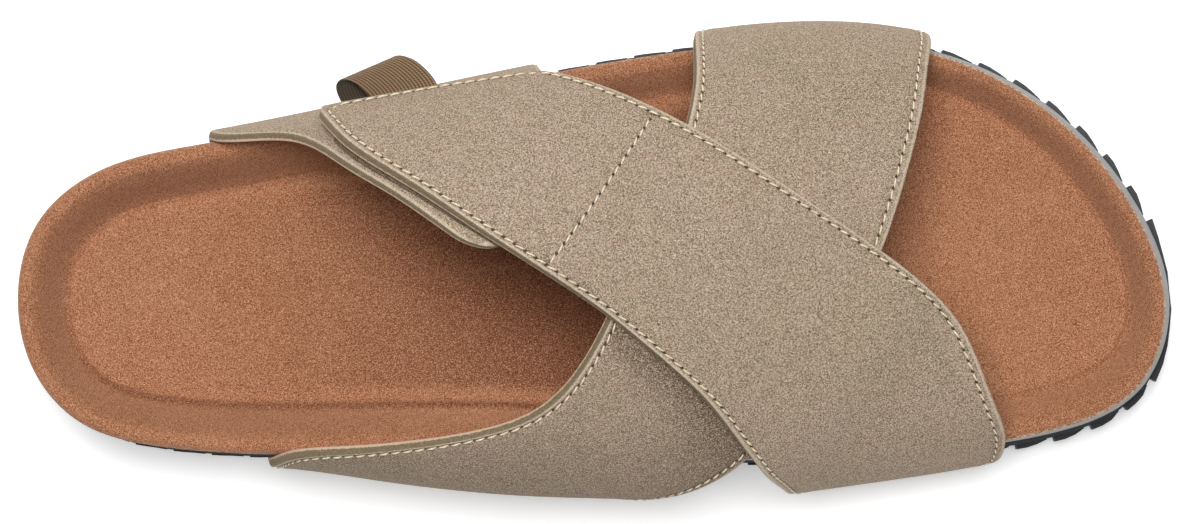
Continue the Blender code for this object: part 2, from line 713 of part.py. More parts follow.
def build_tread(cutters):
    """Edge lugs and tread blocks, as one cutter to join to the outsole's plate."""
    mesh_data = bmesh.new()
    gap = LUG_PITCH - LUG_LENGTH
    whole = side_path(list(range(2 * SIDE_STEPS)))
    toe = whole[0][SIDE_STEPS]
    lug_prism(mesh_data, whole, toe - TOE_LUG_OUTER, toe + TOE_LUG_INNER, TOE_LUG_SAMPLES, toe_lug_step)
    outer_order = list(range(SIDE_STEPS + 1))
    inner_order = [(-i) % (2 * SIDE_STEPS) for i in outer_order]
    for order, toe_lug in ((outer_order, TOE_LUG_OUTER), (inner_order, TOE_LUG_INNER)):
        path = side_path(order)
        run = path[0][-1] - toe_lug - gap / 2
        count = int(run / LUG_PITCH)
        pitch = run / count
        for k in range(count):
            start = k * pitch + gap / 2
            lug_prism(mesh_data, path, start, start + pitch - gap, LUG_SAMPLES, side_lug_step)
    for start, end in tread_blocks():
        bar_block(mesh_data, start, end)
    bmesh.ops.recalc_face_normals(mesh_data, faces=mesh_data.faces[:])
    tread = finish_mesh("tread", mesh_data)
    hide_cutter(tread, cutters)
    return tread


def build_outsole(cutters):
    """Rubber plate with the tread under it."""
    rings = [
        offset_ring(outsole_flange, lambda x: sole_lift(x) + LUG_DEPTH),
        offset_ring(outsole_flange, lambda x: sole_lift(x) + OUTSOLE_HEIGHT - OUTSOLE_TOP_ROUND),
        offset_ring(lambda x: outsole_flange(x) - OUTSOLE_TOP_ROUND,
                    lambda x: sole_lift(x) + OUTSOLE_HEIGHT)]
    outsole = build_loft("outsole", rings)
    join = outsole.modifiers.new("tread", "BOOLEAN")
    join.operation = "UNION"
    join.object = build_tread(cutters)
    return outsole


def hide_cutter(cutter, cutters):
    """Keep a shape that only serves a Boolean out of the model."""
    cutters.objects.link(cutter)
    cutter.hide_render = True
    cutter.display_type = "WIRE"


def make_material(name):
    """Plain surface in one of the sandal's colours."""
    colour, roughness = COLOURS[name]
    material = bpy.data.materials.new(name)
    material.use_nodes = True
    shader = material.node_tree.nodes["Principled BSDF"]
    shader.inputs["Base Color"].default_value = (*colour, 1.0)
    shader.inputs["Roughness"].default_value = roughness
    shader.inputs["Metallic"].default_value = 0.0
    return material


def centre_over_origin(objects):
    """Move the finished sandal so that its box is centred over the origin."""
    bpy.context.view_layer.update()
    depsgraph = bpy.context.evaluated_depsgraph_get()
    corners = []
    for part in objects:
        evaluated = part.evaluated_get(depsgraph)
        corners += [evaluated.matrix_world @ Vector(corner) for corner in evaluated.bound_box]
    middle_x = (min(c.x for c in corners) + max(c.x for c in corners)) / 2
    middle_y = (min(c.y for c in corners) + max(c.y for c in corners)) / 2
    for part in objects:
        part.location = (-middle_x, -middle_y, 0.0)


def main():
    """Build the sandal."""
    for old in list(bpy.data.objects):
        bpy.data.objects.remove(old, do_unlink=True)
    parts = bpy.data.collections.new(PART_NAME)
    cutters = bpy.data.collections.new("cutters")
    bpy.context.scene.collection.children.link(parts)
    bpy.context.scene.collection.children.link(cutters)

    pieces = [
        (build_outsole(cutters), "rubber"),
        (build_midsole(), "foam"),
        (build_footbed(), "suede"),
        (build_upper(cutters), "nubuck"),
        (build_fastening_strap(), "nubuck"),
        (build_closure_tape(), "tape"),
        (build_pull_loop(), "ribbon")]
    materials = {name: make_material(name) for name in COLOURS}
    for piece, finish in pieces:
        parts.objects.link(piece)
        piece.data.materials.append(materials[finish])
    centre_over_origin([piece for piece, _ in pieces] + list(cutters.objects))


main()
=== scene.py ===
"""Slide sandal for the left foot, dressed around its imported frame.

The toe points along +X and the outer side of the foot along +Y. Each sub-assembly is a
class that holds its sizes, builds its meshes and dresses them.
"""

import logging
import math
from dataclasses import dataclass, field
from enum import Enum
from typing import Callable, Sequence

import bmesh
import bpy
import numpy as np
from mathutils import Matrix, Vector
from mathutils.kdtree import KDTree


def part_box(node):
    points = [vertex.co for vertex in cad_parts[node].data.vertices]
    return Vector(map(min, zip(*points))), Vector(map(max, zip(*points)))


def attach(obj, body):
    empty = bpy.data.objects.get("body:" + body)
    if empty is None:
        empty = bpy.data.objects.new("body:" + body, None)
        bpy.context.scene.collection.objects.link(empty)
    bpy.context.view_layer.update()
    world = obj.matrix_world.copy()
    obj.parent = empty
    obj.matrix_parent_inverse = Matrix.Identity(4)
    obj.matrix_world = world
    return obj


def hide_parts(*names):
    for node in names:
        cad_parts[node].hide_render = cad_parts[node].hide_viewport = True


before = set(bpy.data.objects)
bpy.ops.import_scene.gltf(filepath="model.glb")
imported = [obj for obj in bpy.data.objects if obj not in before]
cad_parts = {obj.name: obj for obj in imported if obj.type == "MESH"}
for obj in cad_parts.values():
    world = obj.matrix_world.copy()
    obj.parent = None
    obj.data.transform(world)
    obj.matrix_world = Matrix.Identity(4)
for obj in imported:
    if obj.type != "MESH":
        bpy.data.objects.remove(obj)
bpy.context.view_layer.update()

LOG = logging.getLogger("sandal")
MM = 0.001
BODY = "root"
SHARP_ANGLE = math.radians(50)
# a distance in metres past anything on the sandal
FAR = 1.0
STITCH_PITCH = 2.85 * MM

Rows = Sequence[tuple[float, ...]]
Values = dict[str, np.ndarray]
Placer = Callable[[np.ndarray, np.ndarray], tuple[np.ndarray, Values]]


def smooth(t: np.ndarray | float) -> np.ndarray:
    """Smooth step from 0 to 1, for a number or an array."""
    t = np.clip(t, 0.0, 1.0)
    return t * t * (3.0 - 2.0 * t)


def mix(a: np.ndarray | float, b: np.ndarray | float, t: np.ndarray | float) -> np.ndarray:
    """Value a at t = 0 and b at t = 1."""
    return a + (b - a) * t


def ease(value: np.ndarray | float, low: float, high: float) -> np.ndarray:
    """Smooth step from 0 at low to 1 at high."""
    return smooth((value - low) / (high - low))


def bell(distance: np.ndarray | float, width: float) -> np.ndarray:
    """Soft bump of height 1 at distance 0."""
    return np.exp(-(np.asarray(distance) / width) ** 2)


class Spline:
    """Natural cubic curve through rows of values, or a closed one where a period is given."""

    def __init__(self, knots: Sequence[float], rows: Rows, period: float = 0.0) -> None:
        """Solve the curve.

        Args:
            knots: places of the rows.
            rows: values at those places.
            period: length of one turn of a closed curve, or 0 for an open one.
        """
        places = np.asarray(knots, float)
        values = np.asarray(rows, float)
        if period:
            places = np.append(places, places[0] + period)
            values = np.vstack([values, values[:1]])
        self.knots = places
        self.rows = values
        self.steps = np.diff(places)
        self.slopes = self._slopes(bool(period))

    def _slopes(self, closed: bool) -> np.ndarray:
        """Slopes at the knots that make the curvature continuous.

        Args:
            closed: whether the curve runs round.

        Returns:
            One row of slopes for each knot.
        """
        h = self.steps
        chords = np.diff(self.rows, axis=0) / h[:, None]
        count = len(self.knots)
        matrix = np.zeros((count, count))
        right = np.zeros(self.rows.shape)
        for i in range(1, count - 1):
            matrix[i, i - 1:i + 2] = (1 / h[i - 1], 2 / h[i - 1] + 2 / h[i], 1 / h[i])
            right[i] = 3 * (chords[i - 1] / h[i - 1] + chords[i] / h[i])
        if closed:
            matrix[0, 0] = 1
            matrix[0, -1] = -1
            matrix[-1, -2] = 1 / h[-1]
            matrix[-1, -1] = 2 / h[-1] + 2 / h[0]
            matrix[-1, 1] = 1 / h[0]
            right[-1] = 3 * (chords[-1] / h[-1] + chords[0] / h[0])
        else:
            matrix[0, :2] = (2, 1)
            right[0] = 3 * chords[0]
            matrix[-1, -2:] = (1, 2)
            right[-1] = 3 * chords[-1]
        return np.linalg.solve(matrix, right)

    def at(self, places: np.ndarray | float) -> np.ndarray:
        """Values of the curve.

        Args:
            places: one place, or an array of places.

        Returns:
            One row of values for each place, or a single row for one place.
        """
        spots = np.atleast_1d(np.asarray(places, float))
        i = np.clip(np.searchsorted(self.knots, spots, side="right") - 1, 0, len(self.steps) - 1)
        h = self.steps[i][:, None]
        u = (spots - self.knots[i])[:, None] / h
        start = (1 + 2 * u) * (1 - u) ** 2 * self.rows[i] + u * (1 - u) ** 2 * h * self.slopes[i]
        end = u * u * (3 - 2 * u) * self.rows[i + 1] + u * u * (u - 1) * h * self.slopes[i + 1]
        values = start + end
        return values[0] if np.ndim(places) == 0 else values


def chord_spline(points: Rows, closed: bool = False) -> Spline:
    """Curve through points, with their chord lengths from 0 to 1 as its places.

    Args:
        points: the points, in order.
        closed: whether the last one joins the first.

    Returns:
        The curve.
    """
    spots = np.asarray(points, float)
    ends = np.vstack([spots, spots[:1]]) if closed else spots
    lengths = np.linalg.norm(np.diff(ends, axis=0), axis=1)
    knots = np.concatenate([[0.0], np.cumsum(lengths)]) / lengths.sum()
    return Spline(knots[:-1], spots, 1.0) if closed else Spline(knots, spots)


@dataclass
class FootForm:
    """The sandal's form: footbed outline and heights, sole sizes and the straps' inner form.

    Lengths are shares of the footbed length, as in the frame; heights and widths are in metres.
    """

    length: float
    heel_x: float
    ball_width: float = 0.0955
    heel_width: float = 0.0670
    instep_height: float = 0.0850
    rim_height: float = 0.0430
    footbed_wall: float = 0.0035
    midsole_draft: float = 0.0022
    outsole_height: float = 0.0085
    toe_spring: float = 0.0070
    heel_spring: float = 0.0015
    waist_lift: float = 0.0010
    # shares of the length where the tread leaves the floor at toe, heel and waist
    toe_bend: float = 0.78
    heel_bend: float = 0.06
    waist_from: float = 0.36
    waist_to: float = 0.58
    waist_fade: float = 0.08
    glue_gap: float = 0.3 * MM
    base_clearance: float = 0.0005
    arch_support: float = 0.0032
    arch_place: float = 0.43
    arch_spread: float = 0.16
    axis_start: float = 0.14
    axis_end: float = 0.84
    side_height: float = 0.30
    shoulder_out: float = 0.76
    shoulder_up: float = 0.66
    crown_shift: float = -0.031
    outline_toe_row: int = 10
    # share of the length, share of the local width
    outline: Rows = (
        (0.000, -0.128), (0.018, 0.136), (0.070, 0.306), (0.158, 0.397), (0.332, 0.480),
        (0.506, 0.495), (0.663, 0.531), (0.802, 0.503), (0.906, 0.350), (0.976, 0.114),
        (1.000, -0.119), (0.976, -0.300), (0.906, -0.400), (0.767, -0.458), (0.593, -0.470),
        (0.419, -0.517), (0.227, -0.651), (0.123, -0.628), (0.054, -0.546), (0.018, -0.400))
    # share of the length, rim height, seat height, rim width
    footbed_rows: Rows = (
        (0.00, 1.00, 0.70, 0.155), (0.15, 0.98, 0.66, 0.160), (0.30, 0.92, 0.64, 0.160),
        (0.45, 0.80, 0.57, 0.150), (0.60, 0.68, 0.50, 0.140), (0.75, 0.64, 0.47, 0.125),
        (0.90, 0.68, 0.50, 0.115), (1.00, 0.75, 0.55, 0.115))
    # share of the length, share of the midsole's full draft
    draft_rows: Rows = (
        (0.00, 0.20), (0.35, 0.20), (0.60, 0.25), (0.80, 0.40), (0.90, 0.72), (1.00, 1.00))
    # share of the length, crown height, outer bulge, inner bulge
    last_rows: Rows = (
        (0.12, 0.941, 0.0136, 0.0136), (0.22, 0.988, 0.0147, 0.0100), (0.32, 1.000, 0.0157, 0.0450),
        (0.42, 0.976, 0.0140, 0.0750), (0.52, 0.912, 0.0147, 0.0780), (0.62, 0.824, 0.0230, 0.0733),
        (0.72, 0.718, 0.0209, 0.0503), (0.80, 0.629, 0.0157, 0.0314), (0.88, 0.553, 0.0136, 0.0136))
    last_from: float = 0.125
    last_to: float = 0.90
    last_steps: int = 420
    over_steps: int = 420
    ring_steps: int = 400
    tangent_step: float = 0.002

    def __post_init__(self) -> None:
        """Prepare the curves and the sampled form of the straps."""
        points = [(a * self.length, b * self._local_width(a)) for a, b in self.outline]
        self.outline_curve = chord_spline(points, closed=True)
        self.footbed_curve, self.draft_curve, self.last_curve = (
            Spline([row[0] for row in rows], [row[1:] for row in rows])
            for rows in (self.footbed_rows, self.draft_rows, self.last_rows))
        self.fine_ring, self.fine_normals = self._outline_ring()
        low_y = self.fine_ring[:, 1].min()
        self.shift = np.array((self.heel_x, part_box("footbed")[0].y - low_y, 0.0))
        self._sample_last()

    def _local_width(self, share: float) -> float:
        """Width that the outline's shares are of."""
        return float(mix(self.heel_width, self.ball_width, smooth((share - 0.2) / 0.4)))

    def _outline_ring(self) -> tuple[np.ndarray, np.ndarray]:
        """Footbed outline from the heel tip round, with outward normals.

        Returns:
            Points and normals, in the form's own frame.
        """
        curve = self.outline_curve
        toe = curve.knots[self.outline_toe_row]
        outer = np.linspace(0.0, toe, self.ring_steps, endpoint=False)
        inner = np.linspace(toe, 1.0, self.ring_steps, endpoint=False)
        places = np.concatenate([outer, inner])
        tangents = curve.at((places + self.tangent_step) % 1.0) - curve.at((places - self.tangent_step) % 1.0)
        normals = np.column_stack([-tangents[:, 1], tangents[:, 0]])
        return curve.at(places), normals / np.linalg.norm(normals, axis=1)[:, None]

    def ring_at(self, turn: np.ndarray) -> tuple[np.ndarray, np.ndarray]:
        """Outline points and outward normals.

        Args:
            turn: share of the way round, from the heel tip over the outer side.

        Returns:
            Points and normals, in the form's own frame.
        """
        count = len(self.fine_ring)
        place = (turn % 1.0) * count
        low = np.floor(place).astype(int) % count
        high = (low + 1) % count
        t = (place - np.floor(place))[:, None]
        points = mix(self.fine_ring[low], self.fine_ring[high], t)
        normals = mix(self.fine_normals[low], self.fine_normals[high], t)
        return points, normals / np.linalg.norm(normals, axis=1)[:, None]

    def edges(self, x: np.ndarray) -> tuple[np.ndarray, np.ndarray]:
        """Outer and inner edge of the footbed at x, in the form's own frame.

        Args:
            x: places along the foot.

        Returns:
            Y of the outer and of the inner edge.
        """
        half = len(self.fine_ring) // 2
        outer = self.fine_ring[:half + 1]
        inner = np.vstack([self.fine_ring[half:], self.fine_ring[:1]])[::-1]
        return np.interp(x, outer[:, 0], outer[:, 1]), np.interp(x, inner[:, 0], inner[:, 1])

    def lift(self, x: np.ndarray) -> np.ndarray:
        """Height of the tread over the floor at x.

        Args:
            x: places along the foot, in the form's own frame.

        Returns:
            The heights.
        """
        share = x / self.length
        toe = np.maximum(0.0, (share - self.toe_bend) / (1.0 - self.toe_bend)) ** 2
        heel = np.maximum(0.0, (self.heel_bend - share) / self.heel_bend) ** 2
        waist = smooth((share - self.waist_from) / self.waist_fade)
        waist = waist * smooth((self.waist_to - share) / self.waist_fade)
        return toe * self.toe_spring + heel * self.heel_spring + waist * self.waist_lift

    def draft(self, x: np.ndarray) -> np.ndarray:
        """How far the midsole's foot stands out from its top at x."""
        shares = self.draft_curve.at(np.clip(np.atleast_1d(x) / self.length, 0.0, 1.0))
        return shares[:, 0] * self.midsole_draft

    def _sample_last(self) -> None:
        """Sample the straps' inner form and its normals on a grid."""
        over = np.linspace(0.0, 1.0, self.over_steps + 1)
        rows = []
        self.over_lengths = []
        for share in np.linspace(self.last_from, self.last_to, self.last_steps + 1):
            x = share * self.length
            section = self._last_section(share, x).at(over)
            self.over_lengths.append(np.linalg.norm(np.diff(section, axis=0), axis=1).sum())
            rows.append(np.column_stack([np.full(len(over), x), section]))
        self.last_points = np.array(rows) + self.shift
        along = np.gradient(self.last_points, axis=0)
        across = np.gradient(self.last_points, axis=1)
        normals = np.cross(across, along)
        self.last_normals = normals / np.linalg.norm(normals, axis=2)[..., None]

    def _last_section(self, share: float, x: float) -> Spline:
        """Curve over the foot at one place along it.

        Args:
            share: share of the length.
            x: the same place in metres.

        Returns:
            Curve of y and z from the outer to the inner edge of the sole.
        """
        crown, outer_bulge, inner_bulge = self.last_curve.at(
            min(max(share, self.last_rows[0][0]), self.last_rows[-1][0]))
        outer, inner = (float(e) for e in self.edges(np.array(x)))
        base_out = float(self.draft(np.array(x))[0]) + self.base_clearance
        base_z = float(self.lift(np.array(x))) + self.outsole_height + self.glue_gap
        side_z = self.side_height * self.instep_height
        crown_z = crown * self.instep_height
        crown_y = (outer + inner) / 2 + self.crown_shift * self.ball_width
        outer_y = outer + max(outer_bulge * self.ball_width, base_out)
        inner_y = inner - max(inner_bulge * self.ball_width, base_out)
        shoulder_z = mix(side_z, crown_z, self.shoulder_up)
        return chord_spline((
            (outer + base_out, base_z), (outer_y, side_z),
            (mix(crown_y, outer_y, self.shoulder_out), shoulder_z), (crown_y, crown_z),
            (mix(crown_y, inner_y, self.shoulder_out), shoulder_z), (inner_y, side_z),
            (inner - base_out, base_z)))

    def last(self, share: np.ndarray, across: np.ndarray) -> tuple[np.ndarray, np.ndarray]:
        """Points and normals of the straps' inner form.

        Args:
            share: shares of the length.
            across: shares of the way over the foot, from the outer side.

        Returns:
            Points and outward normals in the frame.
        """
        row = (np.asarray(share) - self.last_from) / (self.last_to - self.last_from) * self.last_steps
        row = np.clip(row, 0.0, self.last_steps - 1e-6)
        column = np.clip(np.asarray(across) * self.over_steps, 0.0, self.over_steps - 1e-6)
        i = row.astype(int)
        j = column.astype(int)
        t = (row - i)[..., None]
        s = (column - j)[..., None]

        def sample(grid: np.ndarray) -> np.ndarray:
            """Value of a sampled grid between its points.

            Args:
                grid: values at the grid's points.

            Returns:
                Values at the places asked for.
            """
            low = mix(grid[i, j], grid[i, j + 1], s)
            high = mix(grid[i + 1, j], grid[i + 1, j + 1], s)
            return mix(low, high, t)

        normals = sample(self.last_normals)
        return sample(self.last_points), normals / np.linalg.norm(normals, axis=-1)[..., None]

    def over_length(self, share: float) -> float:
        """Length over the foot from one edge of the sole to the other."""
        places = np.linspace(self.last_from, self.last_to, self.last_steps + 1)
        return float(np.interp(share, places, self.over_lengths))


def srgb(red: int, green: int, blue: int) -> tuple[float, float, float, float]:
    """Linear colour of a screen colour from 0 to 255.

    Args:
        red: red channel.
        green: green channel.
        blue: blue channel.

    Returns:
        Red, green, blue and alpha.
    """
    def linear(value: int) -> float:
        """Linear value of one screen channel."""
        share = value / 255
        return share / 12.92 if share <= 0.04045 else ((share + 0.055) / 1.055) ** 2.4
    return linear(red), linear(green), linear(blue), 1.0


class Pad:
    """Short way to place and link nodes in one node tree."""

    def __init__(self, tree: bpy.types.NodeTree) -> None:
        """Hold the tree to work in."""
        self.tree = tree

    def add(self, kind: str, inputs: dict | None = None, **settings: object) -> bpy.types.Node:
        """Place a node.

        Args:
            kind: node type without its ShaderNode prefix.
            inputs: values or sockets for its inputs, by name or number.
            settings: the node's own properties.

        Returns:
            The node.
        """
        prefix = "" if kind.startswith("NodeGroup") else "ShaderNode"
        node = self.tree.nodes.new(prefix + kind)
        for name, value in settings.items():
            setattr(node, name, value)
        for key, value in (inputs or {}).items():
            self.put(node, key, value)
        return node

    def put(self, node: bpy.types.Node, key: str | int, value: object) -> None:
        """Set or link one input of a node.

        Args:
            node: the node.
            key: the input's name or number.
            value: a number, a colour, or a socket to link from.
        """
        if isinstance(value, bpy.types.NodeSocket):
            self.tree.links.new(value, node.inputs[key])
        else:
            node.inputs[key].default_value = value

    def math(self, operation: str, a: object, b: object = 0.0, clamp: bool = False) -> bpy.types.NodeSocket:
        """Result of a Math node on two values or sockets."""
        node = self.add("Math", {0: a, 1: b}, operation=operation, use_clamp=clamp)
        return node.outputs[0]

    def plus(self, a: object, b: object) -> bpy.types.NodeSocket:
        """Sum of two values or sockets."""
        return self.math("ADD", a, b)

    def times(self, a: object, b: object, clamp: bool = False) -> bpy.types.NodeSocket:
        """Product of two values or sockets."""
        return self.math("MULTIPLY", a, b, clamp)

    def blend(self, factor: object, a: object, b: object) -> bpy.types.NodeSocket:
        """Colour a at factor 0 and b at factor 1.

        Args:
            factor: share of the second colour.
            a: first colour.
            b: second colour.

        Returns:
            The blended colour.
        """
        node = self.add("Mix", {"Factor": factor}, data_type="RGBA")
        self.put(node, 6, a)
        self.put(node, 7, b)
        return node.outputs[2]

    def tint(self, base: object, colour: object, mask: object, share: float) -> bpy.types.NodeSocket:
        """Base colour, with a share of the other one where the mask is 1."""
        return self.blend(self.times(mask, share), base, colour)

    def noise(self, place: object, scale: float | object, detail: float = 2.0,
              roughness: float = 0.5, distortion: float = 0.0) -> bpy.types.NodeSocket:
        """Noise value at a place.

        Args:
            place: where it is read.
            scale: waves to the metre.
            detail: number of finer layers.
            roughness: strength of the finer layers.
            distortion: how far the waves are dragged.

        Returns:
            Value from 0 to 1.
        """
        node = self.add("TexNoise", {
            "Vector": place, "Scale": scale, "Detail": detail,
            "Roughness": roughness, "Distortion": distortion})
        return node.outputs["Fac"]

    def ramp(self, factor: object, low: float, high: float) -> bpy.types.NodeSocket:
        """Value from 0 at low to 1 at high, smoothly.

        Args:
            factor: value that is ramped.
            low: where the ramp starts.
            high: where it ends, which may lie under its start.

        Returns:
            Value from 0 to 1.
        """
        node = self.add("MapRange", {
            "Value": factor, "From Min": low, "From Max": high, "To Min": 0.0, "To Max": 1.0},
            interpolation_type="SMOOTHSTEP")
        return node.outputs["Result"]

    def attribute(self, name: str) -> bpy.types.NodeSocket:
        """Value of a mesh attribute."""
        return self.add("Attribute", attribute_name=name).outputs["Fac"]

    def object_place(self) -> bpy.types.NodeSocket:
        """Place in the object's own metres."""
        return self.add("TexCoord").outputs["Object"]


def new_group(name: str, inputs: dict[str, tuple[str, object]], outputs: dict[str, str]) -> tuple:
    """Start a shader node group.

    Args:
        name: the group's name.
        inputs: socket type and default value for each named input.
        outputs: socket type for each named output.

    Returns:
        The group, a pad on it, its input node and its output node.
    """
    group = bpy.data.node_groups.new(name, "ShaderNodeTree")
    for title, (kind, value) in inputs.items():
        socket = group.interface.new_socket(title, in_out="INPUT", socket_type="NodeSocket" + kind)
        if value is not None:
            socket.default_value = value
    for title, kind in outputs.items():
        group.interface.new_socket(title, in_out="OUTPUT", socket_type="NodeSocket" + kind)
    pad = Pad(group)
    return group, pad, pad.add("NodeGroupInput"), pad.add("NodeGroupOutput")


def nap_group() -> bpy.types.NodeTree:
    """Short raised fibres of brushed leather: dark specks between lit fibre tips.

    Returns:
        Group with Speck, Tip and Height outputs.
    """
    group, pad, source, sink = new_group(
        "brushed_nap",
        {"Place": ("Vector", None), "Size": ("Float", 0.001), "Drag": ("Float", 1.0)},
        {"Speck": "Float", "Tip": "Float", "Height": "Float"})
    scale = pad.math("DIVIDE", 1.0, source.outputs["Size"])
    place = source.outputs["Place"]
    fibres = pad.noise(place, scale, 2.0, 0.6, source.outputs["Drag"])
    fine = pad.noise(place, pad.times(scale, 2.1), 1.0, 0.5, 0.3)
    both = pad.plus(pad.times(fibres, 0.55), pad.times(fine, 0.45))
    pad.put(sink, "Speck", pad.ramp(both, 0.52, 0.40))
    pad.put(sink, "Tip", pad.ramp(both, 0.50, 0.60))
    pad.put(sink, "Height", pad.plus(pad.times(fibres, 0.65), pad.times(fine, 0.35)))
    return group


def mottle_group() -> bpy.types.NodeTree:
    """Soft uneven dye and brushing: two overlapping scales of patches.

    Returns:
        Group with a Mask output.
    """
    group, pad, source, sink = new_group(
        "soft_mottle", {"Place": ("Vector", None), "Size": ("Float", 0.02)}, {"Mask": "Float"})
    scale = pad.math("DIVIDE", 1.0, source.outputs["Size"])
    wide = pad.noise(source.outputs["Place"], scale, 2.0, 0.5, 0.6)
    small = pad.noise(source.outputs["Place"], pad.times(scale, 3.4), 2.0, 0.5, 0.3)
    both = pad.plus(pad.times(wide, 0.62), pad.times(small, 0.38))
    pad.put(sink, "Mask", pad.ramp(both, 0.36, 0.64))
    return group


def needle_group() -> bpy.types.NodeTree:
    """Needle holes along a seam, from the distance to the seam and the run along it.

    Returns:
        Group with a Mask output, 1 in a hole.
    """
    group, pad, source, sink = new_group(
        "needle_holes",
        {"Gap": ("Float", 0.0), "Run": ("Float", 0.0),
         "Pitch": ("Float", 0.003), "Radius": ("Float", 0.0004)},
        {"Mask": "Float"})
    gap = source.outputs["Gap"]
    phase = pad.math("PINGPONG", source.outputs["Run"], pad.times(source.outputs["Pitch"], 0.5))
    along = pad.times(phase, 0.6)
    distance = pad.math("SQRT", pad.plus(pad.times(along, along), pad.times(gap, gap)))
    share = pad.math("DIVIDE", distance, source.outputs["Radius"])
    pad.put(sink, "Mask", pad.ramp(share, 1.15, 0.55))
    return group


class Effect(Enum):
    """Shader groups that more than one finish uses."""

    NAP = "nap"
    MOTTLE = "mottle"
    NEEDLE = "needle"


@dataclass
class Workshop:
    """Builds each shared shader group once and each finish's material once."""

    groups: dict = field(default_factory=dict)
    materials: dict = field(default_factory=dict)

    def group(self, effect: Effect) -> bpy.types.NodeTree:
        """Shared shader group of an effect.

        Args:
            effect: the effect.

        Returns:
            Its group, made once.
        """
        makers = {Effect.NAP: nap_group, Effect.MOTTLE: mottle_group, Effect.NEEDLE: needle_group}
        if effect not in self.groups:
            self.groups[effect] = makers[effect]()
        return self.groups[effect]

    def use(self, pad: Pad, effect: Effect, inputs: dict) -> bpy.types.Node:
        """Place a shared group in a material.

        Args:
            pad: pad on the material's nodes.
            effect: the group's effect.
            inputs: values or sockets for the group's inputs.

        Returns:
            The group node.
        """
        node = pad.add("Group", node_tree=self.group(effect))
        for key, value in inputs.items():
            pad.put(node, key, value)
        return node

    def material(self, finish: object) -> bpy.types.Material:
        """Material of a finish, made once.

        Args:
            finish: the finish.

        Returns:
            Its material.
        """
        if finish not in self.materials:
            self.materials[finish] = finish.make(self)
        return self.materials[finish]


def start_material(name: str) -> tuple[bpy.types.Material, Pad, bpy.types.Node]:
    """New material with its Principled shader.

    Args:
        name: the material's name.

    Returns:
        The material, a pad on its nodes and the shader node.
    """
    material = bpy.data.materials.new(name)
    material.use_nodes = True
    return material, Pad(material.node_tree), material.node_tree.nodes["Principled BSDF"]


def set_constants(shader: bpy.types.Node, values: dict[str, object]) -> None:
    """Set constant inputs of a shader node by their names."""
    for title, value in values.items():
        shader.inputs[title].default_value = value


def add_bump(pad: Pad, shader: bpy.types.Node, height: object, depth: float,
             under: object = None) -> bpy.types.NodeSocket:
    """Feed a height into the shader's normal.

    Args:
        pad: pad on the material's nodes.
        shader: the shader node.
        height: height from 0 to 1.
        depth: depth of the relief in metres.
        under: normal of a coarser bump below this one.

    Returns:
        The resulting normal socket.
    """
    node = pad.add("Bump", {"Height": height, "Distance": depth, "Strength": 1.0})
    if under is not None:
        pad.put(node, "Normal", under)
    pad.put(shader, "Normal", node.outputs["Normal"])
    return node.outputs["Normal"]


